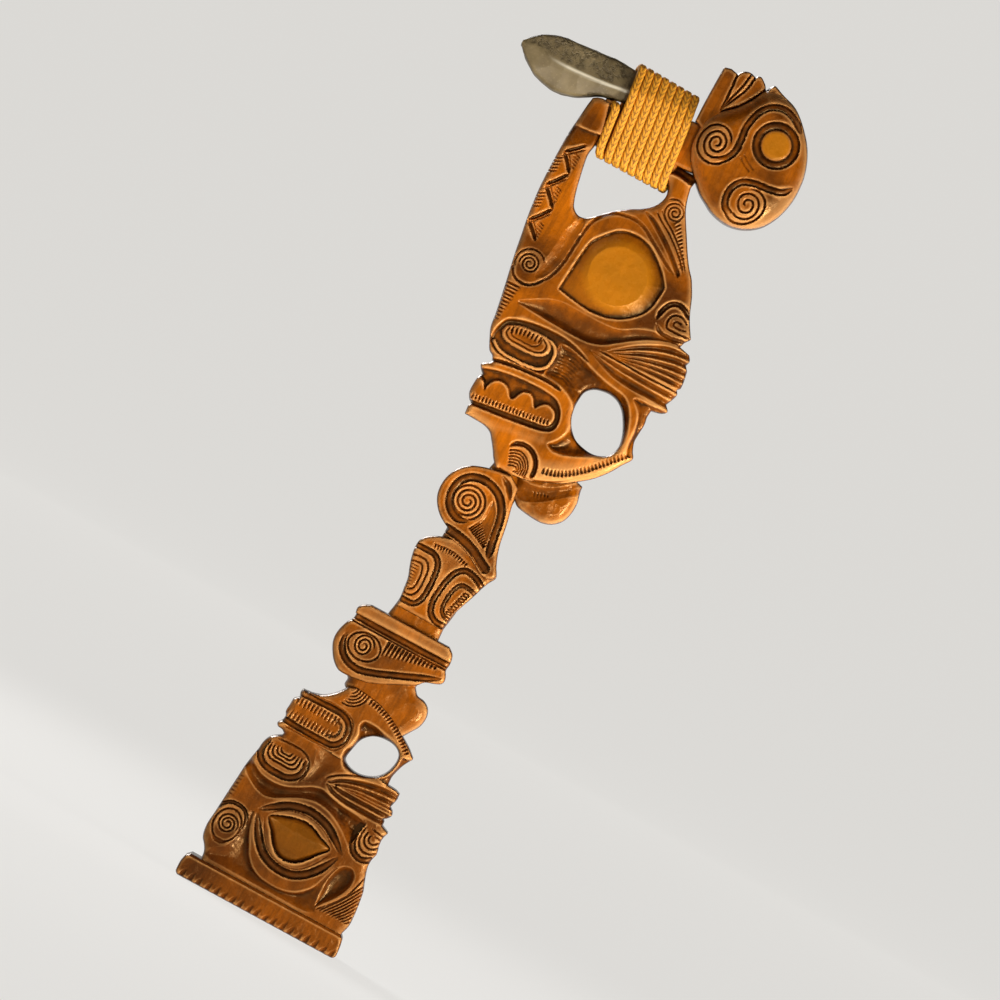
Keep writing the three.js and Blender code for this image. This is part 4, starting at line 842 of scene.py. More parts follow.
def lower_mouth_and_arm(m):
    """Lips and two rows of teeth, the scooped wall of the hole, and the notched arm over it."""
    m.channel([(-46, 135.6), (-28, 136), (-12, 136), (-6, 133), (-3.2, 127), (-4, 120.4), (-8.4, 116.2),
               (-16, 115.6), (-28, 115.6), (-46, 116.6)], 4.2, 2.6)
    m.gouge([(-44, 138.2), (-12, 138.4), (-4, 135), (-0.8, 127), (-1.6, 119), (-6, 113.8), (-16, 112.8),
             (-40, 112.8)],
            1.1, 1.0, ends=(2, 2))
    m.channel([(-14, 131), (-9.4, 129.6), (-8, 126), (-9.4, 121.6), (-14, 120.2)], 1.6, 1.6)
    m.nicks([(-42.4, 132.6), (-26, 132.6), (-12, 132.4)], 13, 5.4, 1.6, 1.3, lean=-94, tip=0.9)
    m.nicks([(-42.4, 119.2), (-26, 119.2), (-12, 119.4)], 13, 5.0, 1.6, 1.3, lean=86, tip=0.9)
    wall = smooth([(2.4, 138.8), (10, 139.4), (18, 137.6), (25, 136), (30, 133), (32.6, 129), (32.4, 121),
                   (29.6, 115.4), (24.6, 110.6), (16, 107), (8, 106.6), (3.4, 108), (0.6, 112), (0.4, 118),
                   (2.6, 122), (3.2, 127), (2.6, 131), (1, 135)], True)
    m.sink(wall, 6.0, 5.0)
    # The notched band along the arm, and the nested arcs at its shoulder
    m.nicks([(0.5, 151.8), (10, 149.8), (20, 145.2), (28, 140.2), (35.4, 134.2)], 19, 3.0, 1.9, 2.2, lean=-90,
            tip=0.9)
    m.gouge([(0, 153.2), (10, 151.2), (20, 146.8), (28, 141.8), (36, 135.8)], 0.8, 0.5, ends=(2, 2))
    m.scoop([(34, 130), (33.2, 122), (30.8, 115.4), (27, 111.6)],
            [(41, 131), (38, 124), (36, 116), (36, 110)], 2.8, steep=0.3, full=5)
    for k in range(5):
        m.gouge(arc(-13.6, 153.4, 11.2 - 2.0 * k, -104 + 4 * k, 4), 1.2, 1.5, ends=(2, 0))


def lower_chin_mass():
    outline = join(smooth([(-16, 150), (-19.5, 153), (-19.5, 157), (-22, 160), (-24, 166)]),
                   [(-20, 176), (21, 178)],
                   smooth([(20.5, 172), (24, 168), (29, 167), (33.2, 164.3), (35.2, 160), (35.2, 155),
                           (34, 151), (30.6, 145.6), (27, 140)]), [(0, 136), (-14, 144)])
    m = Mass("lower_chin", outline, LOWER_CHIN_HALF, edge=7.0, swell=8.0)
    m.pecks(None, 6.5, 0.4, 11)
    return m


def spool_mass():
    outline = join(
        smooth([(-18, 158.6), (-27, 159), (-32, 162.5), (-35.7, 167.4), (-38.4, 173), (-39, 178),
                (-38.2, 183), (-36.2, 188.4), (-34.4, 191), (-33.8, 194), (-34.2, 198)]),
        [(32, 198)],
        smooth([(32.4, 194.6), (32, 190), (33.6, 187), (34.4, 184), (33.4, 181.6), (30, 179.8), (24, 177.6),
                (20.2, 173.6), (10, 168.4), (0, 163.4), (-8, 160.2)]))
    m = Mass("spool", outline, SPOOL_HALF, edge=3.0)
    m.channel([(32, 184.4), (24, 180.6), (13, 175.8), (2, 171.2), (-7, 167.6), (-16, 165.2), (-24, 166.2),
               (-30, 170.2), (-33, 176), (-33.4, 182.6)], 4.6, 2.8, ends=(12, 9))
    m.gouge(spiral(-20.4, 179.6, 1.2, 7.4, 150, -2.4, 0.9), 1.3, 1.8, ends=(2, 4))
    m.gouge(oval(-19.8, 179.2, 10.6, 8.6), 1.4, 1.8, closed=True)
    m.nicks([(-7.2, 188.4), (8, 188.5), (25, 188.7)], 14, (9.5, 1.4), 2.3, 2.4, lean=-94, tip=1.0)
    m.gouge([(-38, 190.4), (-10, 190.2), (14, 190.4), (35, 190.6)], 1.3, 2.2)
    m.channel([(-37, 193.9), (-10, 193.7), (14, 193.7), (35, 193.9)], 4.6, 2.6)
    m.pecks(None, 6.0, 0.14, 13)
    return m


def spool_band_mass():
    outline = join(smooth([(-34.4, 195.2), (-35, 198.5), (-33, 201.6), (-28, 204)]),
                   smooth([(27, 204), (31, 200.5), (32.4, 195.6)]))
    m = Mass("spool_band", outline, SPOOL_BAND_HALF, edge=2.6)
    m.pecks(None, 6.0, 0.16, 14)
    # A painted sheen along the band
    m.paint_sheen([(-26, 197), (0, 197), (26, 197)], 6.0, 0.4)
    return m


def neck_mass():
    outline = join(smooth([(-16.4, 198), (-16.5, 205), (-15.6, 210), (-14.8, 216), (-14.4, 226)]),
                   smooth([(-10, 255), (-9, 290), (-2, 325)]),
                   smooth([(19.5, 325), (19.6, 290), (24, 262), (20, 222)]),
                   smooth([(18.4, 212), (18.8, 206), (19.5, 198)]))
    m = Mass("neck", outline, NECK_HALF, edge=3.5)
    m.pecks(None, 5.0, 0.5, 17)
    return m


def block_mass():
    outline = join(
        smooth([(-14.6, 211.4), (-14.9, 218), (-15.5, 223), (-16.5, 230), (-19, 237), (-20.5, 242),
                (-21.5, 248), (-21.2, 253.4), (-18.4, 257.6), (-14, 260.5), (-9, 262.6), (0, 264.6),
                (9, 263)]),
        smooth([(18, 261.4), (26, 260.4), (30.8, 258.2), (31.9, 255.2), (29.4, 250.6), (27.3, 245.4),
                (25.6, 240), (23.8, 235), (21.9, 230), (20.2, 225), (19, 220), (18.3, 214), (17.6, 211)]))
    m = Mass("block", outline, BLOCK_HALF, edge=2.8)
    m.channel([(-23, 250.4), (-16, 250.6), (-9, 250.4), (-4.4, 246.6), (-2.6, 240), (-2, 230),
               (-2.8, 221.6), (-6, 217.4), (-10, 216.8), (-18, 217)], 4.0, 2.6)
    m.gouge([(-22, 244.2), (-12, 244.8), (-8.2, 241), (-6.9, 233), (-7.3, 225), (-10.2, 221.2),
             (-16.6, 221)], 1.4, 1.6)
    m.gouge([(-20, 240.8), (-13, 241.2), (-10.7, 237), (-10, 231.6), (-10.8, 225.6), (-13.4, 223.8)], 1.2,
            1.4)
    for k in range(8):
        m.gouge([(-18.6 + 0.35 * abs(k - 8), 225 + 2.0 * k), (-13.2, 225 + 2.0 * k)], 1.0, 1.1, ends=(0, 2))
    m.channel([(29, 244.8), (21, 249.4), (13, 250.5), (8.6, 247), (5.8, 240), (4.6, 232), (4.2, 224),
               (6.4, 217.4), (11, 214.2), (20, 213.6)], 4.2, 2.8)
    m.channel([(27, 239.4), (21, 241.6), (15, 241.4), (12.2, 237), (11, 229), (11.6, 222.6), (15, 219.2),
               (21, 218.8)], 2.9, 2.0)
    for k in range(8):
        m.gouge(oval(20.6 - 0.62 * k, 237.4 - 2.15 * k, 1.9, 0.9, 16), 0.9, 1.6, closed=True)
    m.gouge([(-12, 256.4), (0, 257.4), (12, 254.6)], 0.9, 0.8, ends=(2, 2))
    m.nicks([(-11, 256.2), (0, 257.2), (11.4, 254.6)], 13, 2.9, 1.4, 1.5, lean=-88, tip=0.9)
    m.pecks(None, 6.0, 0.14, 19)
    # A painted sheen down the middle
    m.paint_sheen([(0, 243), (0, 262), (4, 278)], 14.0, 0.3)
    return m


def teardrop_mass():
    outline = join(
        smooth([(-9, 268.6), (-12.6, 270.4), (-16.5, 272.7), (-21, 277), (-24.6, 283), (-25.8, 290),
                (-24.6, 297.7), (-20.8, 304.6), (-15, 309.6), (-8.5, 312.3), (0, 314.6), (10, 316)]),
        smooth([(17.5, 311), (18.8, 303), (19.6, 298), (21.2, 291.5), (22.8, 283), (24.2, 275),
                (26.4, 267.6), (29.2, 261), (31.2, 257.4), (30.6, 254), (27, 252)]),
        smooth([(23, 252.4), (17.4, 255.4), (11.5, 258.8), (4.6, 261.8), (-2.6, 263.4), (-10, 264.6)]))
    m = Mass("teardrop", outline, TEARDROP_HALF, edge=2.2)
    m.gouge(spiral(-6.4, 289.2, 1.2, 11.6, 110, -3.5), 1.5, 1.7, ends=(2, 6))
    m.channel([(21.6, 264), (20, 270), (18.4, 278), (17, 287), (14.4, 294.6), (9.4, 301), (3, 304.4),
               (-4, 305.5), (-11.6, 303.4), (-16.6, 298), (-18, 290.8), (-16.4, 283.8), (-12, 278.8),
               (-6, 276.8), (0, 278.4)],
              5.4, 2.8, ends=(4, 8))
    m.channel([(-14, 268.4), (-6, 268), (2, 266.8), (10, 264.2), (18, 260), (26, 255.9)], 6.2, 3.0,
              ends=(3, 2.5))
    tail = join(smooth([(6.6, 293), (7, 286), (5, 279.4), (2, 274.6), (8, 271.6), (16.4, 267.4)]),
                smooth([(16.8, 274), (15, 284), (12.4, 292), (7.4, 298)]))
    m.sink(tail, 1.1, 1.6)
    m.nicks([(2.6, 274.6), (9, 271.8), (15.6, 268.6)], 11, (10.0, 3.4), 1.1, 1.4, lean=86, from_face=True,
            tip=0.7)
    m.gouge([(5, 313.4), (11, 309.6), (16.6, 302)], 4.0, 2.2, ends=(5, 6))
    m.pecks(None, 6.0, 0.14, 23)
    return m


def upper_chin_mass():
    outline = join(
        smooth([(12, 308), (18.5, 303.8), (22, 301), (30, 299.3), (40.4, 299), (47, 301.5), (51.5, 306),
                (53.8, 312.3), (54.2, 320), (52.6, 327), (52, 331)]), [(40, 334), (20, 326), (12, 320)])
    m = Mass("upper_chin", outline, UPPER_CHIN_HALF, edge=7.0, swell=9.0)
    m.scoop([(12, 319), (24, 317.4), (34, 320.6), (44, 327.6), (50, 334)],
            [(12, 306), (22, 304.6), (31, 308.4), (39, 314), (46, 320), (54, 325)], 2.8, steep=0.4, full=12)
    m.gouges([[(27 + 2.0 * k, 314.6 + 0.6 * k), (28.6 + 2.0 * k, 310.6 + 0.8 * k)] for k in range(5)],
             1.0, 0.7, ends=(1, 2), from_face=True)
    m.pecks(None, 8.0, 0.9, 29)
    return m


def head_mass():
    outline = join(
        smooth([(1.4, 316.6), (-0.8, 315.8), (-5, 320), (-8.3, 325), (-12, 330), (-15, 333.5), (-20, 335.5),
                (-28, 336), (-34, 336.2)]),
        smooth([(-34.5, 341), (-33.8, 344)]),
        smooth([(-35.8, 345.4), (-37.8, 349), (-38, 357), (-37.4, 361)]),
        smooth([(-36.2, 363.2), (-38.8, 365.8), (-39.8, 367.5), (-38, 370), (-35, 371.6)]),
        smooth([(-34.6, 373), (-36.4, 376.2), (-39.2, 378), (-42.6, 384.3), (-45.5, 391), (-46.8, 400),
                (-48.6, 410), (-50.5, 420), (-52.3, 429), (-54.4, 440), (-56, 450), (-57.7, 460),
                (-59, 470), (-60, 480), (-60.5, 492), (-60.6, 508), (-60.4, 520), (-59.5, 530),
                (-58.5, 540), (-57.6, 546.2)]),
        smooth([(-55, 548), (-51.8, 548.9), (-46.4, 548.4)]),
        smooth([(-44, 540), (-41.6, 530), (-42.4, 521), (-43.4, 514.5), (-42.4, 507), (-41, 500),
                (-39.2, 491.8), (-37.2, 485), (-35, 480.5), (-31, 477.8), (-27, 478), (-22.7, 481),
                (-19, 484.5), (-14.5, 488.8), (-10, 492.6), (-4.5, 496.4), (1.8, 500), (5.6, 503),
                (8.8, 506.6), (11, 511), (11.4, 516), (9.2, 521.4), (3, 528)]), [(4, 534), (24, 534)],
        smooth([(22.6, 526), (24.2, 519), (26.4, 512.7), (31, 504.5), (36, 496.4), (40.5, 489),
                (45.5, 481.8), (50, 476.6), (52.8, 472), (55.5, 467), (60, 456), (62.7, 451), (67.6, 443.2)]),
        smooth([(65, 439.6), (64, 436)]),
        smooth([(71.4, 434.2), (73.4, 431), (72.6, 427.6)]),
        smooth([(75, 424.6), (76.2, 418.4), (76.6, 413.6)]),
        smooth([(74.8, 411.6), (76.4, 409), (75.2, 404.6)]),
        smooth([(73.4, 400.4), (76.2, 396.8), (74, 394.6), (67, 392.6)]),
        smooth([(66.6, 388), (67.4, 383), (67, 376), (67, 370.8), (69, 365), (71.2, 361), (67, 354),
                (62, 346), (55, 338), (47, 331.5), (40, 326.5), (30, 322), (20, 318), (10, 316.4)]))
    hole = smooth([(24.2, 376), (25.2, 383), (28.6, 386.9), (33.3, 388.8), (40, 389.5), (45.8, 388),
                   (50.8, 384.2), (55.8, 376.7), (58.8, 370), (60, 363.3), (57.9, 356.7), (53.3, 353.3),
                   (47.5, 351.7), (40, 352.5), (34.2, 354.6), (29.2, 359.2), (25.8, 365), (24.4, 371)], True)
    m = Mass("head", outline, (HEAD_HALF, ARM_TIP_HALF), edge=4.0, holes=[hole], split=[388, 448])
    head_mouth(m)
    head_nose_and_brow(m)
    head_eye(m)
    head_arms(m)
    m.pecks(None, 7.0, 0.18, 31)
    return m


def head_mouth(m):
    """Mouth, lips, teeth and chin curl of the upper head, and the sunk field round its hole."""
    # The field behind the mouth falls to the hole from a thin crest, and runs out in a horn below
    field = smooth([(-3.4, 404), (4, 404), (9, 403.2), (14, 401.4), (22, 398.4), (32, 395.6), (42, 394),
                    (48.4, 392.6), (53.4, 388.4), (58, 381), (60.8, 372), (61, 364), (58.4, 357.6),
                    (52, 352.4), (45, 348), (37, 344), (29, 341.4), (23.4, 341.4), (20, 343.8),
                    (22.8, 347.4), (26, 352.4), (27.2, 358), (26.4, 364.6), (23.6, 370.6), (18.4, 375.4),
                    (11, 378.8), (3, 379.8), (-3, 381), (-3.6, 392)], True)
    m.sink(field, 5.2, 6.5)
    for k in range(10):
        m.gouge([(1.4, 402 - 2.1 * k), (9, 402.6 - 2.1 * k), (17 - 0.2 * k, 400.6 - 2.1 * k)], 2.0, 0.45,
                ends=(2, 6), from_face=True)
    m.scoop([(53, 394), (60.6, 387), (63.6, 377), (64.2, 367), (66, 360.6)],
            [(77, 395), (68.6, 389), (68.8, 377), (70, 366), (72, 361)], 2.8, steep=0.3, full=5)
    m.pecks(field, 3.6, 0.5, 37)
    # Upper lip, and the sunk mouth between the lips and the scalloped gums
    m.gouge([(-40, 369.4), (-35, 373.4), (-25, 376), (-10, 377.8), (4, 378.4), (12, 377)], 2.6, 2.8,
            ends=(2, 5))
    lips = smooth([(-44, 364.4), (-37, 367.2), (-25, 370.4), (-10, 372.2), (4, 372.4), (11.6, 371),
                   (17, 366.6), (19.8, 361), (20.2, 355.4), (18.4, 351.8), (14, 349.4), (5, 347.4),
                   (-10, 345.2), (-25, 343.4), (-44, 341)])
    gums = smooth([(-44, 345.4), (-36, 346), (-25, 347.6), (-10, 349.8), (5, 352), (12, 353), (15, 354.6),
                   (16.2, 358), (15.2, 361.8), (12, 364.4), (8, 365), (5, 362.6), (2.6, 359.4),
                   (0.2, 361.8), (-1.6, 364.4), (-4.6, 366), (-8, 365), (-10, 362), (-11.4, 358.6),
                   (-13.2, 357.6), (-15.2, 358.8), (-17.4, 361.8), (-20, 363.4), (-24, 364), (-27.6, 362),
                   (-29.6, 358), (-30.2, 354), (-33, 358.6), (-44, 360.6)])
    m.sink(join(lips, gums), 3.0, 1.5)
    m.gouge([(-31, 356), (-33.6, 360.6), (-38, 362.6)], 1.2, 1.0, ends=(1, 2), from_face=True)
    m.nicks([(-37, 346.6), (-25, 348.4), (-10, 350.6), (4, 352.6), (14, 354.4)], 24, 3.4, 1.2, 1.5, lean=92,
            tip=0.5)
    # Chin curl, nested under an arched channel
    m.gouge([(0, 331.6), (3, 335), (8.6, 336.6), (14.4, 335), (18.6, 331), (20.8, 325.4), (20.8, 319.4)],
            3.4, 3.0, ends=(5, 3))
    for k in range(6):
        m.gouge([(1.6 + 0.7 * k, 329.6 - 1.7 * k), (5 + 0.5 * k, 331.6 - 1.9 * k), (9.6, 331.6 - 1.9 * k),
                 (13.8 - 0.6 * k, 329 - 1.7 * k), (16.6 - 1.2 * k, 324.4 - 0.9 * k), (17 - 1.5 * k, 318.8)],
                1.1, 1.5)
    # Jaw: a row of arched teeth along the lower edge
    m.nicks([(26, 326.8), (35, 329.6), (42, 334), (50, 340.8), (58, 349.8), (67, 359.6)], 23, 3.6, 1.9, 1.9,
            lean=86, tip=0.9)
    m.gouge([(14, 318.2), (24, 320.4), (34, 324.6), (44, 331)], 1.2, 1.0, ends=(4, 10))
    # Painted sheen along the jaw and along the lower lip
    m.paint_sheen([(20, 326), (34, 332), (46, 339), (56, 348), (66, 360)], 7.0, 0.75)
    m.paint_sheen([(-36, 341), (-20, 338), (0, 341), (16, 344)], 4.0, 0.4)


def head_nose_and_brow(m):
    """Nose ovals, the wave under the brow, and the ribs of the brow leaf."""
    m.sink(smooth([(-43, 389), (-41.4, 396), (-39, 400.4), (-33, 403.6), (-24, 406), (-10, 407.4), (0, 407),
                   (8, 405.4), (14, 403.2), (19, 400.6), (8, 401.4), (-0.6, 401.6), (-0.8, 392),
                   (-0.8, 384), (-4, 380), (-14, 378.4), (-26, 378), (-36, 379), (-41.4, 382.4)], True),
           3.2, 2.4)
    m.raise_band([(-12, 400.8), (-6, 399.8), (-2.6, 396), (-2, 391), (-3.2, 385.6), (-7.4, 382),
                  (-14, 380.6), (-25, 380), (-34, 381), (-39.6, 384.4)], 2.8, drop=0.3)
    # A painted sheen along the band round the nose
    m.paint_sheen([(-30, 404.6), (-12, 400.8), (-2.6, 396), (-3.2, 385.6), (-14, 380.6), (-34, 381)], 3.0, 0.5)
    m.pillow(smooth([(-37.4, 396), (-38, 391.6), (-34.6, 388.2), (-25, 387.2), (-13, 388), (-8, 390.6),
                     (-5.8, 394.4), (-7, 399), (-12.6, 401.8), (-22, 401.6), (-31, 400)], True), 1.2, 1.0,
             1.2, polish=0.0)
    m.gouge([(-35, 396), (-35.2, 392.6), (-32, 390.2), (-24, 389.8), (-13.4, 390.4), (-9.6, 393),
             (-9.4, 397), (-13, 399.8)], 1.2, 1.4)
    m.gouge([(-33.4, 396.4), (-31.6, 393), (-24, 392.4), (-16.4, 393), (-13.8, 395.4), (-13.4, 398.8)], 1.0,
            1.1)
    m.nicks([(-33, 397.6), (-26, 399.2), (-14.6, 400)], 8, 4.2, 1.3, 1.3, lean=-95, from_face=True, tip=0.4)
    # The wave: steep under its crest, and easing out to the band over the nose
    m.scoop([(-38, 414), (-28, 420), (-20, 424.2), (-13, 425.8), (0, 426), (14, 426), (22, 426.8),
             (28.4, 429), (34, 432.6), (41, 435.8), (50, 437.6), (60, 437.8), (68, 437)],
            [(-38, 412), (-28, 411.6), (-18, 411), (-8, 410.6), (4, 410.4), (13, 411.2), (21, 414),
             (28, 419), (36, 425), (46, 431), (56, 435), (68, 436.6)], 4.0, steep=0.7, full=11)
    # Brow leaf: two fans of hollow flutes
    tip = (23.4, 411)
    m.flutes([[tip, (31, 417.4), (38, 423), (48, 429), (58, 433.2), (80, 435)],
              [tip, (32, 415.6), (43, 422), (55, 427.2), (66, 429.8), (80, 430.6)],
              [tip, (34, 414.2), (45, 418.8), (57, 422.6), (67, 424.8), (80, 425.4)],
              [tip, (35, 413), (46, 416.2), (58, 418.8), (70, 420.4), (80, 420.6)],
              [tip, (36, 412), (50, 414.4), (62, 415.8), (80, 416.6)],
              [tip, (38, 411), (52, 411.8), (66, 412.2), (80, 412.4)]], 2.4, full=4.6)
    m.gouge([(21, 410.2), (34, 410.2), (50, 409.8), (66, 410), (80, 410.2)], 1.3, 1.6, ends=(4, 0))
    tip = (14.4, 408)
    m.flutes([[tip, (26, 408.8), (40, 408.6), (60, 408.6), (80, 408.6)],
              [tip, (26, 406.2), (40, 404.8), (60, 404.2), (80, 404)],
              [tip, (24, 403.4), (34, 400), (46, 398.2), (62, 398), (80, 397.6)]], 2.6, full=6)
    m.gouge([(54, 394.6), (64, 394.4), (74, 395.4)], 2.2, 1.6, ends=(6, 0))
    # A painted sheen over the right end of the brow leaf
    m.paint_sheen([(42, 430), (58, 420), (66, 408), (66, 398)], 9.0, 0.3)


def head_eye(m):
    """The great eye: a broad dome whose skirt falls to a crisp rim, in an outer groove."""
    rim = join(smooth([(38.2, 463.8), (33, 470.5), (27, 476), (20, 481), (15, 483.4), (10, 484.4),
                       (5, 484.4), (0, 483.5), (-5, 481), (-11, 474.8), (-16, 468), (-18, 457),
                       (-19, 445.5), (-20, 431.8)]),
               smooth([(-13, 430.5), (-5, 429.3), (5, 428.6), (15, 430), (23.6, 433.6), (30, 438.5),
                       (35, 444.5), (37.5, 452), (38, 458)]))
    near, away = m.inside(rim)
    beyond = np.maximum(np.hypot(m.x[near] - 9, m.z[near] - 456) - 18.6, 0)
    share = beyond / np.maximum(beyond + away, 1e-6)
    m.face[near] = m.land[near] - 0.4 - 3.4 * share ** 0.9 * np.clip(away / 0.9, 0, 1)
    m.polish[near] = np.clip(1 - beyond / 8.0, 0.35, 1)
    # Outer groove, with the ground outside it hollowed down to it
    groove = [(-31, 431), (-27.2, 438), (-25, 446), (-24, 456), (-23.2, 467), (-21.6, 477), (-17, 485),
              (-11, 489.8), (-4, 491.8), (3, 492.2), (10, 490), (17, 485.8), (24.5, 481.4), (32, 476.8),
              (39, 473.6)]
    m.gouge([(x - 4.6, z + 0.8) for x, z in groove[:6]], 11.0, 1.7, ends=(10, 12), sharp=1.2)
    m.gouge(groove, 2.2, 1.3, ends=(3, 6), from_face=True)
    # Leaf between the eye and the right arm
    m.scoop([(5, 500.4), (12, 498.8), (20, 494), (28, 488.4), (36, 481.6), (42.6, 475.2), (42, 472.8)],
            [(5, 499), (10, 496), (18, 491), (26, 485.4), (33, 479.8), (38, 475.4), (41.4, 472.8)], 1.8,
            steep=0.4,
            full=3.0)
    # Cheek spiral in its raised ring, with a hatched tail
    m.gouge(spiral(-43, 437, 1.2, 6.6, 60, 2.4), 1.2, 1.5, ends=(2, 2))
    m.gouge(arc(-43, 437, 9.2, 30, 215), 1.3, 1.4, ends=(3, 3))
    m.gouge([(-52, 432), (-49, 426.6), (-44, 424.2), (-38, 424.8), (-33, 428.6), (-30, 433)], 1.8, 2.0,
            ends=(3, 2))
    for k in range(11):
        m.gouge([(-52 + 0.32 * k, 420.6 - 2.3 * k), (-46 + 0.2 * k, 420.8 - 2.3 * k),
                 (-40.6 - 0.28 * k, 421 - 2.3 * k)], 1.4, 1.5, ends=(0, 3))
    # Small curl by the right edge
    m.gouge([(42.6, 444), (43.4, 451), (46.4, 456.6), (51, 458.6), (56.4, 457), (61, 453)], 3.6, 3.2,
            ends=(5, 4))
    m.gouge([(66, 443), (58, 442.4), (50.6, 442.8), (49.4, 447.4), (51.4, 451.6), (56.4, 452.6),
             (60.6, 450.4)],
            1.4, 1.6)
    m.gouge([(62, 446), (57, 445.2), (53.6, 446), (53.8, 448.6), (57.6, 448.8)], 1.2, 1.3)
    m.gouge([(43.6, 442), (48, 438.4), (55, 437.6), (66, 440)], 3.0, 1.8, ends=(5, 4))


def head_arms(m):
    """The zigzag of the left arm, and the small spiral and flow lines of the right one."""
    path = [(-46.4, 519), (-57.4, 508.5), (-48, 497.6), (-57.8, 485), (-46.6, 473.6), (-56.8, 460.6),
            (-46.4, 451)]
    for k, ((ax, az), (bx, bz)) in enumerate(zip(path[:-1], path[1:])):
        m.gouge([(ax, az), ((ax + bx) / 2 + 0.5, (az + bz) / 2), (bx, bz)], 2.6, 2.6, ends=(3, 3))
        shift = 3.0 if k % 2 else -3.0
        m.gouge([(ax + 0.6, az + shift), ((ax + bx) / 2 + 0.5, (az + bz) / 2 + shift),
                 (bx - 0.4, bz + shift)], 1.1, 1.2, ends=(2, 2))
    for x, z in path[2:-1:2]:
        for i in range(5):
            m.gouge([(x - 12.6, z + 4.6 - 2.3 * i), (x - 7.4, z + 7.6 - 2.3 * i)], 1.1, 1.1, ends=(0, 2))
    for x, z in path[1:-1:2]:
        for i in range(5):
            m.gouge([(x + 6.0, z + 2.6 - 1.9 * i), (x + 11.0, z + 0.8 - 1.9 * i)], 1.0, 1.0, ends=(2, 1))
    m.scoop([(-61, 526.6), (-50, 527.2), (-40, 529)], [(-61, 510), (-52, 515), (-42, 519)], 2.6, steep=0.12,
            full=9)
    # Recess under the knob's neck
    m.sink(smooth([(2, 526.4), (12, 528.2), (25, 527.6), (26, 537), (2, 537)]), 7.0, 3.5)
    # Spiral at the root of the right arm, its flow lines and the hatched edge
    m.gouge(spiral(21.4, 507.6, 0.8, 6.8, 30, 2.6), 1.1, 1.3, ends=(2, 2))
    m.gouges([[(10.6, 503.4), (16, 499.4), (24, 494.6), (32, 488.6), (38, 483), (43.6, 477)],
              [(13.4, 505.6), (17.4, 501.8), (25, 497), (33, 490.6), (39, 484.8), (44.6, 478)]], 1.1, 1.4,
             ends=(2, 4))
    m.nicks([(26, 504.6), (30.6, 498.6), (36, 490.4), (42, 481.4)], 13, 4.2, 1.2, 1.3, lean=-72)
    m.gouge([(14, 513.6), (19, 515.6), (25, 514)], 1.3, 1.2, ends=(2, 2))


def spar_mass():
    outline = [(-50, SPAR_UNDERSIDE + 2), (-50, seat_at(-50)), (-43.6, seat_at(-43.6)),
               (-42.6, seat_at(-42.6) - CORD_GROOVE), (-37.6, seat_at(-37.6) - CORD_GROOVE),
               (-36.6, seat_at(-36.6)), (3, seat_at(3)), (9, seat_at(3)), (9, SPAR_UNDERSIDE),
               (-38, SPAR_UNDERSIDE)]
    return Mass("spar", outline, SPAR_HALF, edge=2.5)


def knob_neck_mass():
    outline = join([(-4, 533.5), (-4, 556), (1.6, 561.8)], smooth([(4, 563.2), (8, 563.5), (14, 566)]),
                   [(30, 570)],
                   [(34, 545), (28, 535.4)], smooth([(24, 535.4), (14, 534.2), (6, 533.8)]))
    m = Mass("knob_neck", outline, SPAR_HALF + 1.5, edge=3.0)
    m.pecks(None, 5.0, 0.3, 41)
    return m


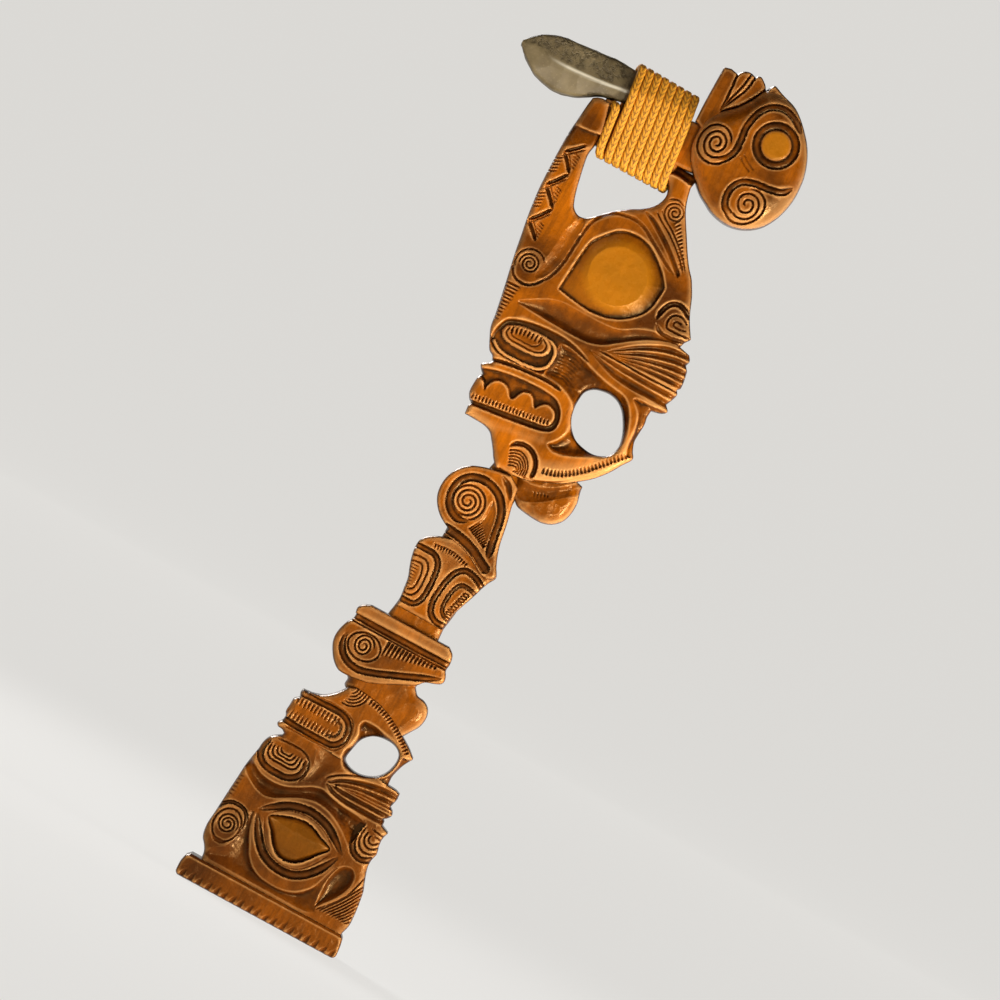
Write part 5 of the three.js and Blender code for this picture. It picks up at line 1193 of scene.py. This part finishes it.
def knob_mass():
    outline = smooth([(9.4, 556), (10.4, 568), (15.6, 576), (24, 584), (30, 592.6), (35, 601.6),
                      (42, 604.2), (50, 602.8), (56.3, 600.4), (62.5, 595.8), (68.3, 590), (73.8, 583.3),
                      (78.3, 575), (81.3, 565.8), (82.4, 556.7), (82.3, 549), (80.8, 540.8), (78, 533.3),
                      (73.3, 525.8), (66.7, 520.4), (60, 517.5), (53.3, 516.4), (46.7, 517), (40, 519),
                      (35.4, 521.6), (29.6, 525), (24, 530), (15, 539.6), (11, 547)], True)
    m = Mass("knob", outline, KNOB_HALF, edge=13.0, swell=14.0)
    m.channel(oval(56.5, 574, 12.2, 12.2), 5.6, 2.8, closed=True)
    m.pillow(oval(56.5, 574, 9.4, 9.4), 0.5, 0.9, 6.0, 2.0, polish=1.0)
    m.channel([(67, 587.6), (60, 593.4), (51.4, 596.2), (43.6, 594), (38.2, 588.4), (35.6, 581),
               (34.9, 573.8), (35.8, 566), (35.9, 559.4), (33.6, 553.4), (29.4, 549)], 4.6, 2.8,
              ends=(6, 0), butt=True)
    m.gouge([(31.2, 547.9), (29.2, 546.5), (25, 545), (19.4, 545.6), (14.8, 548.8), (12.6, 554),
             (12.6, 560), (14.8, 565.4), (19, 568.6), (24.4, 569), (29, 566), (31.6, 561.4)], 1.5, 2.2,
            ends=(0, 6))
    m.gouge([(28.2, 550.6), (24.4, 548.8), (19.8, 549.8), (16.8, 553.4), (16.2, 558.4), (17.8, 562.8),
             (21.6, 565.2), (25.8, 564.2), (28.4, 560.8), (28.4, 556.4), (25.6, 553.2), (21.8, 553.2),
             (19.4, 556), (19.8, 560), (22.4, 561.8), (25, 560.2), (25.2, 557.4), (22.8, 556)], 1.5, 2.2,
            ends=(0, 2))
    m.channel([(78.6, 556), (73.6, 550.4), (66, 548.2), (56, 547), (48.6, 544), (44.8, 538.4), (44.2, 532),
               (46.4, 526), (51.4, 522.8)], 4.6, 2.8, ends=(6, 0), butt=True)
    m.gouge([(49.8, 521.4), (54, 519.8), (61, 521.4), (66.4, 526.4), (68.8, 533.6), (66.8, 540.4),
             (61, 543.8), (54.6, 543)], 1.5, 2.2, ends=(0, 6))
    m.gouge([(52, 524.9), (56, 523.6), (61.4, 525), (64.8, 529.4), (65, 535.4), (61.6, 539.8), (56, 540),
             (52.4, 536.4), (52.6, 531.4), (56, 528), (60.4, 529), (62, 533), (59.8, 536.6), (56.4, 535.8),
             (56, 533), (57.8, 532)], 1.4, 2.0, ends=(1, 2))
    m.gouges([[(40.6, 557), (45, 554), (49.4, 552)], [(42, 559.4), (46.6, 556.4), (51, 554.2)]], 0.9, 0.8)
    m.pecks(None, 8.0, 0.3, 43)
    # A painted sheen on the knob's lower right
    m.paint_sheen([(62, 524), (72, 534), (78, 546)], 8.0, 0.35)
    return m


def tuft_mass():
    outline = join(smooth([(5.2, 564), (4.8, 575), (4.8, 590), (5, 601.8)]),
                   smooth([(9.6, 603), (14.2, 602)]),
                   smooth([(16.9, 605.2), (20, 606.4), (22.6, 606.4)]),
                   smooth([(24.6, 605.6), (28, 607.3), (32.6, 604.4)]),
                   smooth([(34.8, 601.4), (36.6, 605), (38.4, 606.6), (42, 605.4), (45, 604.2), (50, 602.6)]),
                   [(44, 596), (30, 570), (14, 560)])
    m = Mass("tuft", outline, TUFT_HALF, edge=2.4)
    m.gouge([(14.2, 607), (14.8, 598), (15.5, 588), (15.6, 576)], 1.7, 2.2, ends=(0, 10))
    m.gouge([(22.6, 609), (20.6, 596), (17.6, 585.7), (15.8, 577)], 1.5, 2.0, ends=(0, 8))
    m.gouge([(25.6, 609), (23.8, 596), (20, 587), (16.4, 579)], 1.6, 2.2, ends=(0, 8))
    m.gouge([(36, 608), (35, 602), (30.4, 592.3), (24.4, 583.7), (16, 575.6)], 3.2, 3.4, ends=(0, 3))
    m.gouge([(48, 600), (43, 602), (38.6, 601)], 1.6, 1.6, ends=(3, 3))
    m.pecks(None, 6.0, 0.2, 47)
    return m


# Stone and cord
def seat_at(x):
    """The height of the spar's top, on which the stone lies."""
    return SEAT_HEIGHT + SEAT_TILT * x


def blade_half(x):
    """Half the width of the stone, which narrows to its butt and a little at its edge."""
    t = (x - BLADE_TIP) / (BLADE_BUTT - BLADE_TIP)
    wide = BLADE_EDGE_HALF + (BLADE_BUTT_HALF - BLADE_EDGE_HALF) * t
    return wide * (1 - 0.12 * max(0.0, 1 - t * 8))


def blade_top(x):
    """The height of the stone's top over the seat."""
    return BLADE_TOP - 0.03 * (x - BLADE_SEATED)


def blade_ridge(x):
    """The height of the line where the stone is widest."""
    return BLADE_RIDGE + 0.16 * (x - BLADE_SEATED)


def tube(name, rings, **notes):
    """A closed skin over rings of points, each ring with the same count, made from one grid.

    notes holds numbers for the material, one for each point.
    """
    count, sides = rings.shape[:2]
    obj = grid(name, sides, count - 1)
    wrapped = np.concatenate([rings, rings[:, :1]], axis=1).reshape(-1, 3)
    set_places(obj, wrapped * MM)
    for key, values in notes.items():
        note(obj, key, np.concatenate([values, values[:, :1]], axis=1))
    take(obj)
    bpy.ops.object.mode_set(mode="EDIT")
    bpy.ops.mesh.select_all(action="SELECT")
    bpy.ops.mesh.remove_doubles(threshold=1e-7)
    bpy.ops.mesh.select_all(action="DESELECT")
    bpy.ops.mesh.select_non_manifold()
    bpy.ops.mesh.fill_holes(sides=0)
    bpy.ops.object.mode_set(mode="OBJECT")
    return obj


def stone_blade(material):
    """The ground stone: a six-sided section that changes along its length, rounded by wear and chipped."""
    # Along the stone: place, underside, widest line, top, and the top's share of the width
    stations = [(BLADE_TIP, 555.2, 555.9, 556.6, 0.97), (-111.5, 553.2, 556.2, 559.4, 0.94),
                (-108, 549.6, 556.6, 563, 0.88), (-103, 545.6, 556.8, 567.2, 0.8),
                (-97, 541.8, 556.2, 570, 0.74), (-90, 539.4, 555.6, 571.4, 0.68),
                (-82, 538.4, 555.4, 572.4, 0.64), (-75, 539.3, 555.8, 573, 0.62),
                (-68, 541.2, 556.4, 573.8, 0.6), (-61, 545, 557, 574.5, 0.58)]
    stations += [(x, seat_at(x) + 0.3, blade_ridge(x), blade_top(x), BLADE_TOP_SHARE)
                 for x in (BLADE_SEATED, -40, -20, -3)]
    stations += [(BLADE_BUTT, seat_at(BLADE_BUTT) + 1.5, 567, 570.6, 0.5)]
    table = np.array(stations)
    x = np.linspace(BLADE_TIP, BLADE_BUTT, 190)
    kernel = np.ones(7) / 7
    lines = [np.interp(x, table[:, 0], table[:, k]) for k in range(1, 5)]
    low, side, top, share = (np.convolve(np.pad(line, 3, "edge"), kernel, "valid") for line in lines)
    wide = np.array([blade_half(v) for v in x])
    under = wide * np.minimum(1, share + 0.22)
    over = wide * share
    corners = [(over, top), (wide, side), (under, low), (-under, low), (-wide, side), (-over, top)]
    corners = np.stack([np.stack(corner, 1) for corner in corners], 1)
    steps = 12
    rounds = 3
    rings = []
    for k in range(6):
        a = corners[:, k]
        b = corners[:, (k + 1) % 6]
        for i in range(steps):
            rings.append(a + (b - a) * (i / steps))
    ring = np.stack(rings, 1)
    for _ in range(rounds):
        ring = 0.25 * np.roll(ring, 1, 1) + 0.5 * ring + 0.25 * np.roll(ring, -1, 1)
    points = np.concatenate([np.repeat(x[:, None, None], ring.shape[1], 1), ring], 2)
    obj = tube("stone", points)
    at = places(obj) / MM
    side = np.interp(at[:, 0], x, side)
    top = np.interp(at[:, 0], x, top)
    # The ridge mask is a painted highlight along the widest line
    note(obj, "ridge", np.clip(1 - np.abs(at[:, 2] - side) / 1.5, 0, 1) * ease((at[:, 0] + 96) / 20))
    note(obj, "pitted", ease((at[:, 2] - side - 1.2) / 2.0))
    take(obj)
    chips = bpy.data.textures.new("chips", "VORONOI")
    chips.noise_scale = 0.011
    chips.distance_metric = "DISTANCE_SQUARED"
    dent = obj.modifiers.new("Chips", "DISPLACE")
    dent.texture = chips
    dent.texture_coords = "LOCAL"
    dent.strength = -0.0009
    dent.mid_level = 0.6
    bpy.ops.object.modifier_apply(modifier=dent.name)
    finish_piece(obj, material, "ground_stone", "stone_blade")


def cord_x(turn, z):
    """Where the cord is along the spar at a turn and a height. It leans back as it rises."""
    lead = CORD_LEAD * (1 - float(ease((turn - 0.3) / 0.8)))
    return CORD_START + (turn - 0.5) * CORD_PITCH - lead - CORD_SLANT * (z - CORD_MIDDLE)


def bundle(x, with_blade):
    """Corners of what the cord holds, at a place along the spar, as (y, z)."""
    corners = [(SPAR_HALF - 1.2, SPAR_UNDERSIDE), (SPAR_HALF - 0.05, SPAR_UNDERSIDE + 3)]
    if with_blade:
        corners += [(SPAR_HALF, seat_at(x) - 2), (blade_half(x), blade_ridge(x)),
                    (blade_half(x) * BLADE_TOP_SHARE, blade_top(x) + 0.2)]
    else:
        corners += [(SPAR_HALF, seat_at(x) - CORD_GROOVE)]
    return np.array(corners + [(-y, z) for y, z in corners])


def lashing(material):
    """The cord's route, turn by turn, as in the CAD, with the lay of a plait pressed into its skin."""
    steps = 60
    # The first turn holds the spar alone, up to here
    blade_from = 0.75
    route = []
    for i in range(int((CORD_TURNS + CORD_TAIL) * steps) + 1):
        turn = i / steps
        out = np.array([cos(turn * 2 * pi), sin(turn * 2 * pi)])
        corners = bundle(min(cord_x(turn, CORD_MIDDLE), 0), turn > blade_from)
        corner = corners[(corners @ out).argmax()]
        y, z = corner + CORD_SEAT * out
        route.append((cord_x(turn, z), y, z))
    route = np.array(route)
    run = np.concatenate([[0], np.cumsum(np.linalg.norm(np.diff(route, axis=0), axis=1))])
    at = np.arange(0, run[-1], 0.5)
    centre = np.stack([np.interp(at, run, route[:, k]) for k in range(3)], 1)
    for _ in range(4):
        centre[1:-1] = 0.25 * centre[:-2] + 0.5 * centre[1:-1] + 0.25 * centre[2:]
    along = np.gradient(centre, axis=0)
    along /= np.linalg.norm(along, axis=1)[:, None]
    out = np.cross(along, (1.0, 0.0, 0.0))
    out /= np.linalg.norm(out, axis=1)[:, None]
    across = np.cross(out, along)
    sides = 24
    a = np.arange(sides) / sides * 2 * pi
    twist = at[:, None] / CORD_LAY * 2 * pi
    # Strands that lean both ways from the cord's outer line, which lies a little deeper. The same values dent
    # the skin and paint shade into its hollows.
    lean = np.abs((a[None, :] + pi) % (2 * pi) - pi)
    strand = 1 - (1 - np.abs(np.sin(twist / 2 + 3.2 * lean))) ** 2.4
    strand = strand * (0.6 + 0.4 * np.clip(lean / 0.2, 0, 1))
    # A squarish section, which the strands dent
    power = 3.6
    square = (np.abs(np.cos(a)) ** power + np.abs(np.sin(a)) ** power) ** (-1 / power)
    radius = CORD_THICKNESS / 2 * np.minimum(square, 1.14)[None, :] * (0.84 + 0.16 * strand)
    points = (centre[:, None] + out[:, None] * (radius * np.cos(a))[:, :, None]
              + across[:, None] * (radius * np.sin(a))[:, :, None])
    finish_piece(tube("lashing", points, strand=strand), material, "twisted_cord", "lashing_cord")


# Stage, lights and camera
def sweep():
    """A round paper floor that curves up into a low wall on every side, beyond the camera.

    Seen by the camera, in polished faces or through clear ones it glows an even pale grey. For all other
    light it is plain pale paper.
    """
    material, tree, shader, _ = surface("paper_backdrop")
    shader.inputs["Roughness"].default_value = 0.9
    path = add(tree, "LightPath")
    seen = maths(tree, "MAXIMUM", path.outputs["Is Camera Ray"], path.outputs["Is Glossy Ray"])
    seen = maths(tree, "MAXIMUM", seen, path.outputs["Is Transmission Ray"])
    tree.links.new(blend(tree, seen, linear("E4E2DE"), linear("4C4B4A")), shader.inputs["Base Color"])
    shader.inputs["Emission Color"].default_value = linear("E8E6E2")
    tree.links.new(maths(tree, "MULTIPLY", seen, 0.87), shader.inputs["Emission Strength"])
    deselect()
    bpy.ops.mesh.primitive_circle_add(vertices=96, radius=FLOOR_RADIUS, fill_type="NGON",
                                      location=(0, 0, -0.0002))
    obj = bpy.context.object
    obj.name = "backdrop"
    bpy.ops.object.transform_apply(location=True, rotation=True, scale=True)
    bpy.ops.object.mode_set(mode="EDIT")
    bpy.ops.mesh.select_all(action="DESELECT")
    bpy.ops.mesh.select_non_manifold()
    reach, height = FLOOR_RADIUS, 0.0
    bend = [(FLOOR_RADIUS + sin(t), 1 - cos(t)) for t in np.linspace(0, pi / 2, 13)[1:]]
    for wider, higher in [*bend, (FLOOR_RADIUS + 1.0, 3.0)]:
        bpy.ops.mesh.extrude_edges_move(TRANSFORM_OT_translate={"value": (0, 0, higher - height)})
        bpy.ops.transform.resize(value=(wider / reach, wider / reach, 1), center_override=(0, 0, 0))
        reach, height = wider, higher
    bpy.ops.object.mode_set(mode="OBJECT")
    obj.data.materials.append(material)
    bpy.ops.object.shade_smooth_by_angle(angle=radians(30))


def soft_light(name, place, aim, size, power, spread=180):
    """A round lamp. spread is the full angle of its beam, in degrees."""
    lamp = bpy.data.lights.new(name, "AREA")
    lamp.shape = "DISK"
    lamp.size = size
    lamp.energy = power
    lamp.spread = radians(spread)
    obj = bpy.data.objects.new(name, lamp)
    bpy.context.collection.objects.link(obj)
    obj.location = place
    obj.rotation_euler = (Vector(aim) - Vector(place)).to_track_quat("-Z", "Y").to_euler()


def lights():
    """A low key from the right that rakes over the carving, a low glint from the front, and soft fills.

    The lamp behind lights the back face, for whoever walks round the adze.
    """
    soft_light("key", (0.84, -0.62, 0.1), (0.0, 0.0, 0.34), 0.2, 2.2, spread=70)
    soft_light("glint", (0.5, -1.1, 0.12), (0.0, 0.0, 0.42), 0.3, 1.3, spread=70)
    soft_light("back", (-0.9, 1.5, 1.2), (0.0, 0.0, 0.3), 0.9, 26)
    soft_light("fill", (-0.7, -1.2, 1.0), (0.0, 0.0, 0.48), 0.7, 2.0)
    soft_light("top", (0.6, -0.6, 2.0), (0.0, 0.0, 0.3), 0.8, 1.5)
    world = bpy.data.worlds.new("studio")
    bpy.context.scene.world = world
    world.use_nodes = True
    back = world.node_tree.nodes["Background"]
    back.inputs["Color"].default_value = linear("F2F2F4")
    back.inputs["Strength"].default_value = 0.045


def camera():
    """Square on the carved face, rolled so that the haft leans as in the photograph.

    span is the width of the picture at the carved face, which lies front nearer than the middle plane.
    """
    lean = radians(28.5)
    span = 0.620
    away = 9.0
    front = 0.025
    aim = Vector((0.0109, 0.0, 0.2994))
    lens = bpy.data.cameras.new("camera")
    lens.sensor_width = 36
    lens.lens = lens.sensor_width * (away - front) / span
    obj = bpy.data.objects.new("camera", lens)
    bpy.context.collection.objects.link(obj)
    right = Vector((cos(lean), 0, sin(lean)))
    up = Vector((-sin(lean), 0, cos(lean)))
    back = Vector((0, -1, 0))
    turn = Matrix((right, up, back)).transposed()
    obj.matrix_world = Matrix.Translation(aim + back * away) @ turn.to_4x4()
    bpy.context.scene.camera = obj


def main():
    wood = carved_hardwood()
    for build in (foot_mass, lower_head_mass, lower_chin_mass, spool_mass, spool_band_mass, neck_mass,
                  block_mass,
                  teardrop_mass, upper_chin_mass, head_mass, spar_mass, knob_neck_mass, knob_mass, tuft_mass):
        build().make(wood)
    stone_blade(ground_basalt())
    lashing(sennit())
    sweep()
    lights()
    camera()
    bpy.context.scene.view_settings.view_transform = "Standard"


main()
